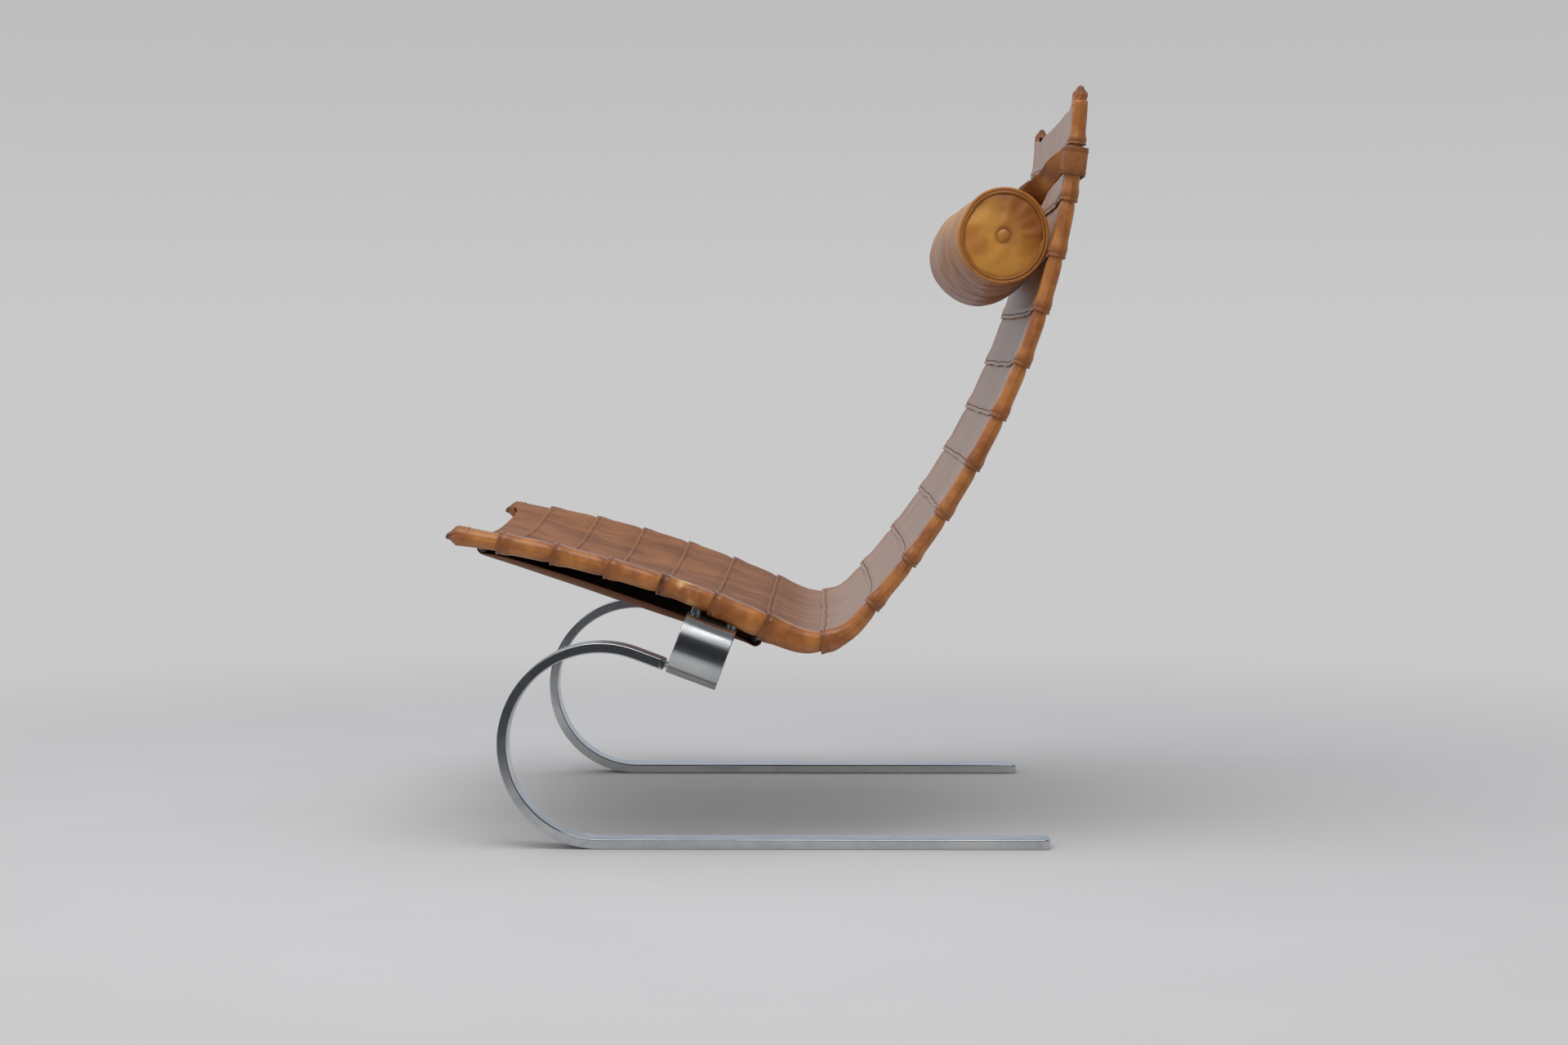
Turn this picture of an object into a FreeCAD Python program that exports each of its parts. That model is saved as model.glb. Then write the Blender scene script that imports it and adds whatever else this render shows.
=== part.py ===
# Cantilever lounge chair: flat steel legs, a steel cradle, and a bent frame wrapped in leather strips.
# X is the width, +Y runs to the back of the chair, +Z is up, and the floor is Z = 0.
import FreeCAD, Part
import math
import os
import Sketcher
from FreeCAD import Vector

doc = FreeCAD.newDocument("LoungeChair")

# Driving dimensions in millimetres and degrees: name, value, meaning
SIZES = [
    ("leg_spread", 730, "Distance over the outer faces of the two legs"),
    ("leg_width", 40, "Width of the flat leg bar"),
    ("leg_depth", 12, "Thickness of the flat leg bar"),
    ("leg_edge", 1.5, "Rounding of the leg bar's edges"),
    ("leg_end_round", 7, "Rounding of the leg bar's ends in plan"),
    ("loop_radius", 122, "Outside radius of the leg's front loop"),
    ("loop_turn", 200.5, "Angle of the leg's front loop"),
    ("foot_length", 530, "Straight foot on the floor"),
    ("arm_length", 38, "Straight arm between the loop and the cradle"),
    ("loop_from_front", 152.4, "Loop centre behind the seat's front reference point"),
    ("stud_radius", 3, "Radius of the studs between leg and cradle"),
    ("stud_spacing", 22, "Distance between a leg's two studs"),
    ("stud_reach", 18, "Depth of a stud in the leg and in the cradle"),
    ("stud_gap", 3.5, "Gap between the leg's end and the cradle"),
    ("cradle_length", 62, "Width of the cradle band along its slope"),
    ("cradle_depth", 11, "Thickness of the cradle band"),
    ("cradle_height", 72.5, "Height over the cradle's curled ends"),
    ("cradle_flange", 44, "Straight flange at the top of each curled end"),
    ("cradle_curl", 180, "Angle of the curled ends"),
    ("cradle_edge", 1.2, "Rounding of the cradle band's edges"),
    ("bolt_radius", 4, "Radius of the cradle bolts"),
    ("bolt_head_radius", 7, "Radius of the cradle bolt heads"),
    ("bolt_head_height", 4.5, "Height of the cradle bolt heads"),
    ("bolt_spacing", 45, "Distance between the two bolts of a side"),
    ("bolt_bite", 6, "Depth of a bolt in the rail"),
    ("spacer_wall", 2.2, "Wall of the spacer tubes"),
    ("washer_radius", 9, "Radius of the washers"),
    ("washer_height", 1.6, "Thickness of the washers"),
    ("fit", 0.05, "Radial clearance of studs and bolts in their holes"),
    ("clearance", 0.4, "Clearance between soft pieces and their neighbours"),
    ("front_height", 379, "Height of the seat's front reference point"),
    ("front_y", -348.1, "Y of the seat's front reference point"),
    ("front_slope", 9, "Downward slope at the front of the seat"),
    ("seat_radius", 1460, "Radius of the seat's long bow"),
    ("seat_turn", 15.8, "Angle of the seat's long bow"),
    ("bend_radius", 56, "Inner radius between seat and back"),
    ("bend_turn", 71.8, "Angle between seat and back"),
    ("back_radius", 962, "Radius of the back's long curve"),
    ("back_turn", 40.3, "Angle of the back's long curve"),
    ("nose_length", 16, "Straight rail ahead of the reference point"),
    ("rail_spread", 694, "Distance over the outer faces of the two rails"),
    ("rail_width", 24, "Width of the rails"),
    ("rail_depth", 8, "Thickness of the rails"),
    ("rail_edge", 2.5, "Rounding of the rails' edges"),
    ("leather", 2.5, "Thickness of the leather"),
    ("strip_pitch", 66.1, "Distance between two strip hems"),
    ("first_hem", 33.6, "First hem behind the reference point"),
    ("strip_overlap", 12, "Length that a strip runs under the next one"),
    ("strip_corner", 6, "Outer corner radius where a strip turns round a rail"),
    ("strip_return", 26, "Width of a strip's fold under the rail"),
    ("strip_count", 18, "Number of leather strips"),
    ("seat_sag", 29, "Deepest sag of the leather between the seat rails"),
    ("back_sag", 10, "Sag of the leather between the back rails"),
    ("wrap_front", 5, "Further depth of the wrapped rail in the seat"),
    ("wrap_rear", 8, "Further depth over the rear crossbar"),
    ("cap_length", 9, "Length of the leather caps on the rail ends"),
    ("rod_radius", 6, "Radius of the two seat crossbars"),
    ("rod_bend", 9, "Bend radius of the seat crossbars"),
    ("rod_turn", 60, "Angle of the crank at each end of a seat crossbar"),
    ("rod_tail", 6, "Straight end of a seat crossbar at the rail"),
    ("front_rod_at", 14, "Front crossbar behind the reference point"),
    ("front_rod_drop", 11, "Drop of the front crossbar below the rails at its ends"),
    ("front_rod_lean", 6, "Slope of the front crossbar's bow at its ends"),
    ("rear_rod_at", 364, "Rear crossbar behind the reference point"),
    ("rear_rod_drop", 26, "Drop of the rear crossbar below the rails"),
    ("back_bar_at", 1119, "Back crossbar behind the reference point"),
    ("back_bar_width", 25, "Width of the back crossbar"),
    ("back_bar_depth", 3, "Thickness of the back crossbar"),
    ("sling_width", 576, "Width of the leather sling under the seat"),
    ("sling_hook", 270, "Angle that the sling's hems turn round the crossbars"),
    ("belt_at", 1059, "Lower edge of the headrest belt behind the reference point"),
    ("belt_height", 33, "Height of the headrest belt"),
    ("belt_corner", 6, "Outer corner radius of the belt"),
    ("bolster_length", 560, "Length of the headrest bolster"),
    ("bolster_radius", 53, "Radius of the bolster at its ends"),
    ("bolster_swell", 8, "Swelling of the bolster at its middle"),
    ("bolster_sag", 21.5, "Sag of the bolster's middle"),
    ("bolster_y", 281.4, "Y of the bolster's end centre"),
    ("bolster_z", 723.5, "Z of the bolster's end centre"),
    ("cover", 2.5, "Thickness of the bolster's cover"),
    ("piping_radius", 2.4, "Radius of the bolster's piping"),
    ("end_cap_depth", 4, "Thickness of the bolster's end caps"),
    ("button_radius", 8, "Radius of the covered buttons"),
    ("button_depth", 4, "Height of the covered buttons"),
    ("hanger_at", 262, "Distance of the hangers' lower ends from the bolster's middle"),
    ("hanger_angle", 46, "Angle above level at which the hangers meet the bolster"),
]

# Dimensions that follow from the driving ones
DERIVED = [
    ("leg_path_radius", "=loop_radius - leg_depth / 2", "Loop radius at the middle of the leg bar"),
    ("cradle_path_radius", "=(cradle_height - cradle_depth) / 2", "Curl radius at the middle of the band"),
    ("strip_length", "=strip_pitch + strip_overlap", "Whole length of a strip along the side line"),
    ("strip_rise", "=(leather + clearance) * (strip_pitch + strip_overlap) / strip_pitch",
     "Rise of a hem over the strip that it covers"),
    ("rail_top", "=strip_rise + leather + clearance", "Depth of the rail's top below the side line"),
    ("rail_middle", "=rail_top + rail_depth / 2", "Depth of the rail's middle below the side line"),
    ("rod_level", "=rail_top + rod_radius + clearance", "Depth of the seat crossbars' ends below the side line"),
    ("wrap_back", "=rail_top + rail_depth + clearance + leather", "Depth of the wrapped rail in the back"),
    ("rail_seat_radius", "=seat_radius - rail_middle", "Seat bow at the rail's middle"),
    ("rail_bend_radius", "=bend_radius + rail_middle", "Bend at the rail's middle"),
    ("rail_back_radius", "=back_radius + rail_middle", "Back curve at the rail's middle"),
    ("rail_gap", "=rail_spread - 2 * rail_width", "Distance between the inner faces of the rails"),
    ("front_rod_unturn", "=rod_turn - front_rod_lean", "Angle of the front crossbar's second bend"),
    ("front_rod_bow", "=2 * front_rod_lean", "Angle of the front crossbar's bow"),
    ("front_rod_fall",
     "=(front_rod_drop - rod_bend * (1 + cos(front_rod_lean) - 2 * cos(rod_turn))) / sin(rod_turn)",
     "Sloping length of the front crossbar's crank"),
    ("rear_rod_fall", "=(rear_rod_drop - 2 * rod_bend * (1 - cos(rod_turn))) / sin(rod_turn)",
     "Sloping length of the rear crossbar's crank"),
    ("front_rod_span",
     "=rail_gap - 2 * (rod_tail + rod_bend * (2 * sin(rod_turn) - sin(front_rod_lean)))"
     " - 2 * front_rod_fall * cos(rod_turn)",
     "Chord of the front crossbar's bow"),
    ("front_bow_radius", "=front_rod_span / 2 / sin(front_rod_lean)", "Radius of the front crossbar's bow"),
    ("rear_rod_straight",
     "=rail_gap - 2 * (rod_tail + 2 * rod_bend * sin(rod_turn) + rear_rod_fall * cos(rod_turn))",
     "Straight middle of the rear crossbar"),
    ("belt_inner_half", "=rail_spread / 2 + leather + 2 * clearance + strip_rise", "Half width inside the belt"),
    ("belt_outer_half", "=belt_inner_half + leather", "Half width over the belt"),
    ("belt_front_inner", "=back_radius - clearance", "Radius of the belt's front face, inside"),
    ("belt_front_outer", "=belt_front_inner - leather", "Radius of the belt's front face, outside"),
    ("belt_rear_inner", "=back_radius + wrap_back + strip_rise + clearance", "Radius of the belt's rear, inside"),
    ("belt_rear_outer", "=belt_rear_inner + leather", "Radius of the belt's rear, outside"),
    ("belt_inner_corner", "=belt_corner - leather", "Inner corner radius of the belt"),
    ("belt_turn", "=belt_height / back_radius * 180 / pi", "Angle of the belt's height about the back's centre"),
]

sheet = doc.addObject("Spreadsheet::Sheet", "Dimensions")
for row, (alias, value, meaning) in enumerate(SIZES + DERIVED, 1):
    sheet.set("A%d" % row, meaning)
    sheet.set("B%d" % row, str(value))
    sheet.setAlias("B%d" % row, alias)
doc.recompute()
size = {alias: float(getattr(sheet, alias)) for alias, value, meaning in SIZES + DERIVED}

parts = []
X_AXIS = Vector(1, 0, 0)
LEFT, RIGHT = -1, 1


def keep(piece, label):
    """Name a finished sub-part."""
    piece.Label = label
    parts.append(piece)
    return piece


def helper(shape, name):
    """A document object that carries a shape used by later cuts and fuses."""
    piece = doc.addObject("Part::Feature", name)
    piece.Shape = shape
    return piece


def frame_at(origin, x_dir, y_dir):
    """The placement whose local X and Y run along two directions."""
    z_dir = x_dir.cross(y_dir)
    matrix = FreeCAD.Matrix(
        x_dir.x, y_dir.x, z_dir.x, origin.x,
        x_dir.y, y_dir.y, z_dir.y, origin.y,
        x_dir.z, y_dir.z, z_dir.z, origin.z,
        0, 0, 0, 1)
    return FreeCAD.Placement(matrix)


# The seat's side line: a straight nose, the seat's bow, the tight bend and the back's curve.
def seat_stations():
    """Start point, start angle and bend direction of each stretch of the side line."""
    here = Vector(0, size["front_y"], size["front_height"])
    angle = math.radians(-size["front_slope"])
    stretches = []
    for turn, radius, way in (("seat_turn", "seat_radius", -1), ("bend_turn", "bend_radius", 1),
                              ("back_turn", "back_radius", 1)):
        sweep = math.radians(size[turn])
        length = sweep * size[radius]
        centre = here + Vector(0, -math.sin(angle), math.cos(angle)) * (way * size[radius])
        stretches.append((length, size[radius], way, angle, centre))
        angle += way * sweep
        here = centre - Vector(0, -math.sin(angle), math.cos(angle)) * (way * size[radius])
    return stretches


STRETCHES = seat_stations()
SEAT_END = STRETCHES[0][0]
BEND_END = SEAT_END + STRETCHES[1][0]
BACK_END = BEND_END + STRETCHES[2][0]
BACK_CENTRE = STRETCHES[2][4]


def side_line(along):
    """Point, direction and upward normal of the seat's side line at a distance along it."""
    start = Vector(0, size["front_y"], size["front_height"])
    if along < 0:
        angle = math.radians(-size["front_slope"])
        tangent = Vector(0, math.cos(angle), math.sin(angle))
        return start + tangent * along, tangent, Vector(0, -math.sin(angle), math.cos(angle))
    rest = along
    for number, (length, radius, way, angle, centre) in enumerate(STRETCHES):
        if rest <= length or number == len(STRETCHES) - 1:
            here = angle + way * rest / radius
            normal = Vector(0, -math.sin(here), math.cos(here))
            return centre - normal * (way * radius), Vector(0, math.cos(here), math.sin(here)), normal
        rest -= length


def smooth(value):
    """A step from 0 to 1 with level ends."""
    value = min(1.0, max(0.0, value))
    return value * value * (3 - 2 * value)


def wrap_depth(along):
    """Depth of the wrapped rail, deeper in the seat and deepest over the rear crossbar."""
    fade = size["strip_pitch"]
    seat = 1 - smooth((along - size["rear_rod_at"]) / (2 * fade))
    rear = 1 - smooth(abs(along - size["rear_rod_at"] - 0.2 * fade) / (2 * fade))
    return size["wrap_back"] + size["wrap_front"] * seat + size["wrap_rear"] * rear


def leather_sag(along):
    """Sag of the leather between the rails: deep in the seat, shallow in the back and at the top."""
    deepest = 2.5 * size["strip_pitch"]
    if along < deepest:
        seat = 0.6 + 0.4 * smooth(along / deepest)
    else:
        seat = 1 - smooth((along - deepest) / (SEAT_END - deepest))
    top = 0.5 + 0.5 * smooth((BACK_END - along) / (5 * size["strip_pitch"]))
    return size["back_sag"] * top + (size["seat_sag"] - size["back_sag"]) * seat


# Bent bars: a path of lines and arcs in the body's XY plane, and a section across its start
def origin_plane(body, role):
    return [plane for plane in body.Origin.OriginFeatures if plane.Role == role][0]


def bind(sketch, kind, name, alias, *where):
    """Add a dimension to a sketch and bind it to a cell of the sheet."""
    value = alias if isinstance(alias, float) else size[alias]
    held = math.radians(value) if kind == "Angle" else value
    number = sketch.addConstraint(Sketcher.Constraint(kind, *where, held))
    if not isinstance(alias, float):
        sketch.renameConstraint(number, name)
        sketch.setExpression("Constraints." + name, "Dimensions." + alias)


def path_sketch(body, name, pieces):
    """An open chain of tangent lines and arcs from the body's origin along its X axis."""
    sketch = body.newObject("Sketcher::SketchObject", name)
    sketch.AttachmentSupport = [(origin_plane(body, "XY_Plane"), "")]
    sketch.MapMode = "FlatFace"
    here = Vector(0, 0, 0)
    angle = 0.0
    before = None
    for number, piece in enumerate(pieces):
        values = [one if isinstance(one, float) else size[one] for one in piece[1:3]]
        heading = Vector(math.cos(angle), math.sin(angle), 0)
        if piece[0] == "line":
            there = here + heading * values[0]
            drawn = sketch.addGeometry(Part.LineSegment(here, there), False)
            ends = (1, 2)
            bind(sketch, "Distance", "length%d" % number, piece[1], drawn)
        else:
            radius, sweep, way = values[0], math.radians(values[1]), piece[3]
            centre = here + Vector(-heading.y, heading.x, 0) * (way * radius)
            start = angle - way * math.pi / 2
            stop = start + way * sweep
            circle = Part.Circle(centre, Vector(0, 0, 1), radius)
            drawn = sketch.addGeometry(Part.ArcOfCircle(circle, min(start, stop), max(start, stop)), False)
            ends = (1, 2) if way > 0 else (2, 1)
            bind(sketch, "Radius", "radius%d" % number, piece[1], drawn)
            bind(sketch, "Angle", "turn%d" % number, piece[2], drawn)
            there = centre + Vector(math.cos(stop), math.sin(stop), 0) * radius
            angle += way * sweep
        if before is None:
            sketch.addConstraint(Sketcher.Constraint("Coincident", drawn, ends[0], -1, 1))
            sketch.addConstraint(Sketcher.Constraint("Horizontal", drawn))
        else:
            sketch.addConstraint(Sketcher.Constraint("Tangent", before[0], before[1], drawn, ends[0]))
        before = (drawn, ends[1])
        here = there
    return sketch


def bar_section(body, name, depth, width):
    """A rectangle centred on the path's start."""
    sketch = body.newObject("Sketcher::SketchObject", name)
    sketch.AttachmentSupport = [(origin_plane(body, "YZ_Plane"), "")]
    sketch.MapMode = "FlatFace"
    across, up = size[depth] / 2, size[width] / 2
    corners = [Vector(-across, -up, 0), Vector(across, -up, 0), Vector(across, up, 0), Vector(-across, up, 0)]
    for number in range(4):
        sketch.addGeometry(Part.LineSegment(corners[number], corners[(number + 1) % 4]), False)
    for number in range(4):
        sketch.addConstraint(Sketcher.Constraint("Coincident", number, 2, (number + 1) % 4, 1))
        sketch.addConstraint(Sketcher.Constraint("Vertical" if number % 2 else "Horizontal", number))
    sketch.addConstraint(Sketcher.Constraint("Symmetric", 0, 1, 1, 2, -1, 1))
    bind(sketch, "DistanceX", "depth", depth, 0, 1, 0, 2)
    bind(sketch, "DistanceY", "width", width, 1, 1, 1, 2)
    return sketch


def round_section(body, name, radius):
    """A circle centred on the path's start."""
    sketch = body.newObject("Sketcher::SketchObject", name)
    sketch.AttachmentSupport = [(origin_plane(body, "YZ_Plane"), "")]
    sketch.MapMode = "FlatFace"
    sketch.addGeometry(Part.Circle(Vector(0, 0, 0), Vector(0, 0, 1), size[radius]), False)
    sketch.addConstraint(Sketcher.Constraint("Coincident", 0, 3, -1, 1))
    bind(sketch, "Radius", "radius", radius, 0)
    return sketch


def bent_bar(name, placement, pieces, section, edge=None, end_round=None):
    """A body swept along a path, with its ends rounded and its edges softened."""
    body = doc.addObject("PartDesign::Body", name)
    path = path_sketch(body, name + "_path", pieces)
    if len(section) == 2:
        profile = bar_section(body, name + "_section", section[0], section[1])
    else:
        profile = round_section(body, name + "_section", section[0])
    doc.recompute()
    bar = body.newObject("PartDesign::AdditivePipe", name + "_sweep")
    bar.Profile = profile
    bar.Spine = (path, ["Edge%d" % (number + 1) for number in range(len(pieces))])
    doc.recompute()
    if end_round:
        thickness = size[section[0]]
        short = ["Edge%d" % (number + 1) for number, line in enumerate(bar.Shape.Edges)
                 if line.Curve.TypeId == "Part::GeomLine" and abs(line.Length - thickness) < 0.01]
        ends = body.newObject("PartDesign::Fillet", name + "_ends")
        ends.Base = (bar, short)
        ends.setExpression("Radius", "Dimensions." + end_round)
        doc.recompute()
        bar = ends
    if edge:
        soft = body.newObject("PartDesign::Fillet", name + "_edges")
        soft.Base = (bar, ["Edge%d" % (number + 1) for number in range(len(bar.Shape.Edges))])
        soft.setExpression("Radius", "Dimensions." + edge)
        doc.recompute()
    body.Placement = placement
    doc.recompute()
    return body


def cylinder(name, radius, height, base, direction):
    """A cylinder from a base point along a direction, its radius given as an expression."""
    piece = doc.addObject("Part::Cylinder", name)
    piece.setExpression("Radius", radius)
    piece.Height = height
    piece.Placement = FreeCAD.Placement(base, FreeCAD.Rotation(Vector(0, 0, 1), direction))
    return piece


def cut(name, base, tools):
    """Base less all the tools."""
    piece = base
    for number, tool in enumerate(tools):
        less = doc.addObject("Part::Cut", "%s_cut%d" % (name, number))
        less.Base = piece
        less.Tool = tool
        piece = less
    doc.recompute()
    return piece


def group(name, members):
    """Separate solids that share one node."""
    piece = doc.addObject("Part::Compound", name)
    piece.Links = members
    doc.recompute()
    return piece


# Legs: a long foot, the front loop and a short arm that falls to the cradle
LOOP_Y = size["front_y"] + size["loop_from_front"]
SLOPE = math.radians(size["loop_turn"] - 180)
DOWN_SLOPE = Vector(0, math.cos(SLOPE), -math.sin(SLOPE))
OFF_SLOPE = Vector(0, math.sin(SLOPE), math.cos(SLOPE))
LEG_MIDDLE = (size["leg_spread"] - size["leg_width"]) / 2
LOOP_CENTRE = Vector(0, LOOP_Y, size["loop_radius"])
ARM_END = LOOP_CENTRE + OFF_SLOPE * size["leg_path_radius"] + DOWN_SLOPE * size["arm_length"]

# Cradle: one wide band whose ends curl outwards and back over themselves
BAND_OFFSET = (size["cradle_depth"] - size["leg_depth"]) / 2
BAND_MIDDLE = ARM_END + DOWN_SLOPE * (size["stud_gap"] + size["cradle_length"] / 2) + OFF_SLOPE * BAND_OFFSET
FLANGE_TOP = BAND_MIDDLE + OFF_SLOPE * (2 * size["cradle_path_radius"] + size["cradle_depth"] / 2)


def leg(name, side):
    """One leg, its foot running forward from the back end."""
    start = Vector(side * LEG_MIDDLE, LOOP_Y + size["foot_length"], size["leg_depth"] / 2)
    place = frame_at(start, Vector(0, -1, 0), Vector(0, 0, 1))
    path = [("line", "foot_length"), ("arc", "leg_path_radius", "loop_turn", 1), ("line", "arm_length")]
    return bent_bar(name, place, path, ("leg_depth", "leg_width"), "leg_edge", "leg_end_round")


def cradle():
    """The cradle band, swept from the left flange to the right one."""
    inner_end = size["leg_spread"] / 2 - size["cradle_flange"]
    start = BAND_MIDDLE + OFF_SLOPE * (2 * size["cradle_path_radius"]) - X_AXIS * inner_end
    place = frame_at(start, -X_AXIS, OFF_SLOPE)
    path = [("line", "cradle_flange"), ("arc", "cradle_path_radius", "cradle_curl", -1), ("line", "leg_spread"),
            ("arc", "cradle_path_radius", "cradle_curl", -1), ("line", "cradle_flange")]
    return bent_bar("cradle_bar", place, path, ("cradle_depth", "cradle_length"), "cradle_edge")


def rail(name, side):
    """A flat steel side rail from the seat's nose to the top of the back."""
    point, tangent, normal = side_line(-size["nose_length"])
    middle = (size["rail_spread"] - size["rail_width"]) / 2
    start = point - normal * size["rail_middle"] + X_AXIS * (side * middle)
    place = frame_at(start, tangent, normal)
    path = [("line", "nose_length"), ("arc", "rail_seat_radius", "seat_turn", -1),
            ("arc", "rail_bend_radius", "bend_turn", 1), ("arc", "rail_back_radius", "back_turn", 1)]
    return bent_bar(name, place, path, ("rail_depth", "rail_width"), "rail_edge")


def rise_to_rail(point):
    """Distance from a point on the flange up to the underside of the rail."""
    centre = STRETCHES[0][4]
    radius = size["seat_radius"] - size["rail_top"] - size["rail_depth"]
    offset = Vector(0, point.y, point.z) - centre
    along = offset.dot(OFF_SLOPE)
    return -along + math.sqrt(along * along - offset.dot(offset) + radius * radius)


leg_bars = {LEFT: leg("left_leg_bar", LEFT), RIGHT: leg("right_leg_bar", RIGHT)}
rail_bars = {LEFT: rail("left_rail_bar", LEFT), RIGHT: rail("right_rail_bar", RIGHT)}
cradle_bar = cradle()

# Studs that join each leg's end to the cradle's front edge
studs = []
stud_holes = {LEFT: [], RIGHT: []}
for side in (LEFT, RIGHT):
    for way in (-1, 1):
        across = X_AXIS * (side * LEG_MIDDLE + way * size["stud_spacing"] / 2)
        name = "stud_%d_%d" % (side + 1, way + 1)
        start = ARM_END + across - DOWN_SLOPE * size["stud_reach"]
        length = 2 * size["stud_reach"] + size["stud_gap"]
        studs.append(cylinder(name, "Dimensions.stud_radius", length, start, DOWN_SLOPE))
        stud_holes[side].append(cylinder(name + "_hole", "Dimensions.stud_radius + Dimensions.fit",
                                         length + 2 * size["fit"], start - DOWN_SLOPE * size["fit"],
                                         DOWN_SLOPE))

# Bolts that hold the rails on the cradle's flanges, with spacers and washers
bolts, washers, spacers = [], [], []
flange_holes = []
rail_holes = {LEFT: [], RIGHT: []}
BOLT_X = (size["rail_spread"] - size["rail_width"]) / 2
bolt_places = []
for side in (LEFT, RIGHT):
    for way in (-1, 1):
        name = "bolt_%d_%d" % (side + 1, way + 1)
        seat = FLANGE_TOP + DOWN_SLOPE * (way * size["bolt_spacing"] / 2) + X_AXIS * (side * BOLT_X)
        gap = rise_to_rail(seat)
        bolt_places.append((seat, gap))
        under = seat - OFF_SLOPE * size["cradle_depth"]
        head = under - OFF_SLOPE * (size["washer_height"] + size["bolt_head_height"])
        reach = size["washer_height"] + size["cradle_depth"] + gap + size["bolt_bite"]
        shank = cylinder(name + "_shank", "Dimensions.bolt_radius", reach,
                         under - OFF_SLOPE * size["washer_height"], OFF_SLOPE)
        cap = cylinder(name + "_head", "Dimensions.bolt_head_radius", size["bolt_head_height"], head, OFF_SLOPE)
        bolt = doc.addObject("Part::Fuse", name)
        bolt.Base = cap
        bolt.Tool = shank
        bolts.append(bolt)
        hole = cylinder(name + "_hole", "Dimensions.bolt_radius + Dimensions.fit",
                        reach + size["fit"], under - OFF_SLOPE * size["washer_height"], OFF_SLOPE)
        disc = cylinder(name + "_disc", "Dimensions.washer_radius", size["washer_height"],
                        under - OFF_SLOPE * size["washer_height"], OFF_SLOPE)
        washers.append(cut(name + "_washer", disc, [hole]))
        tube = cylinder(name + "_tube", "Dimensions.bolt_radius + Dimensions.fit + Dimensions.spacer_wall",
                        gap + size["rail_edge"], seat, OFF_SLOPE)
        spacers.append(cut(name + "_spacer", tube, [hole, rail_bars[side]]))
        flange_holes.append(hole)
        rail_holes[side].append(hole)

for side, name in ((LEFT, "left"), (RIGHT, "right")):
    keep(cut(name + "_leg", leg_bars[side], stud_holes[side]), name + "_leg")
    keep(cut(name + "_rail", rail_bars[side], rail_holes[side]), name + "_rail")
keep(cut("cradle", cradle_bar, stud_holes[LEFT] + stud_holes[RIGHT] + flange_holes), "cradle_band")
keep(group("studs", studs), "leg_studs")
keep(group("bolts", bolts), "cradle_bolts")
keep(group("washers", washers), "cradle_washers")
keep(group("spacers", spacers), "cradle_spacers")


# Crossbars: two cranked rods under the seat and a flat bar at the top of the back
def cranked_rod(name, at, fall, unturn, middle):
    """A round rod between the rails, cranked down at both ends."""
    point, _, normal = side_line(size[at])
    start = point - normal * size["rod_level"] - X_AXIS * (size["rail_gap"] / 2)
    crank = [("line", "rod_tail"), ("arc", "rod_bend", "rod_turn", -1), ("line", fall)]
    turned = [("arc", "rod_bend", unturn, 1)]
    path = crank + turned + [middle] + turned + crank[::-1]
    return bent_bar(name, frame_at(start, X_AXIS, normal), path, ("rod_radius",))


keep(cranked_rod("front_rod", "front_rod_at", "front_rod_fall", "front_rod_unturn",
                 ("arc", "front_bow_radius", "front_rod_bow", 1)), "front_crossbar")
keep(cranked_rod("rear_rod", "rear_rod_at", "rear_rod_fall", "rod_turn",
                 ("line", "rear_rod_straight")), "rear_crossbar")

top_bar = doc.addObject("Part::Box", "top_bar")
top_bar.setExpression("Length", "Dimensions.rail_gap")
top_bar.setExpression("Width", "Dimensions.back_bar_depth")
top_bar.setExpression("Height", "Dimensions.back_bar_width")
point, tangent, normal = side_line(size["back_bar_at"])
corner = point - normal * (size["rail_top"] + size["rail_depth"]) - X_AXIS * (size["rail_gap"] / 2)
top_bar.Placement = frame_at(corner - tangent * (size["back_bar_width"] / 2), X_AXIS, normal)
keep(top_bar, "top_crossbar")


# Leather strips: each covers the seat between the rails and folds round both of them
def line(first, last):
    return Part.LineSegment(first, last).toShape()


def arc(first, middle, last):
    return Part.Arc(first, middle, last).toShape()


def strip_outline(along, lift):
    """The cut across a strip, from fold to fold; lift is 1 at the hem and 0 at the covered end."""
    point, _, normal = side_line(along)
    rise = size["strip_rise"]
    top = rise * (lift - 1)
    low = -wrap_depth(along) - rise * lift
    wide = size["rail_spread"] / 2 + size["leather"] + size["clearance"] + rise * lift
    inner = size["rail_gap"] / 2
    fold = size["rail_spread"] / 2 + size["leather"] - size["strip_return"]
    sag = leather_sag(along)
    thick = size["leather"]
    corner = size["strip_corner"]

    def at(across, up):
        return point + X_AXIS * across + normal * up

    def layer(depth):
        """The outer or inner face as a row of edges from the left fold to the right one."""
        half, bottom, above, turn = wide - depth, low + depth, top - depth, corner - depth
        slack = turn * (1 - math.sqrt(0.5))
        left = [
            line(at(-fold, bottom), at(-half + turn, bottom)),
            arc(at(-half + turn, bottom), at(-half + slack, bottom + slack), at(-half, bottom + turn)),
            line(at(-half, bottom + turn), at(-half, above - turn)),
            arc(at(-half, above - turn), at(-half + slack, above - slack), at(-half + turn, above)),
            line(at(-half + turn, above), at(-inner, above)),
        ]
        seat = [arc(at(-inner, above), at(0, above - sag), at(inner, above))]
        right = [
            line(at(inner, above), at(half - turn, above)),
            arc(at(half - turn, above), at(half - slack, above - slack), at(half, above - turn)),
            line(at(half, above - turn), at(half, bottom + turn)),
            arc(at(half, bottom + turn), at(half - slack, bottom + slack), at(half - turn, bottom)),
            line(at(half - turn, bottom), at(fold, bottom)),
        ]
        return left + seat + right

    outer, under = layer(0), layer(thick)
    ends = [line(at(fold, low), at(fold, low + thick)), line(at(-fold, low + thick), at(-fold, low))]
    return Part.Wire(Part.__sortEdges__(outer + [ends[0]] + under + [ends[1]]))


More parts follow.
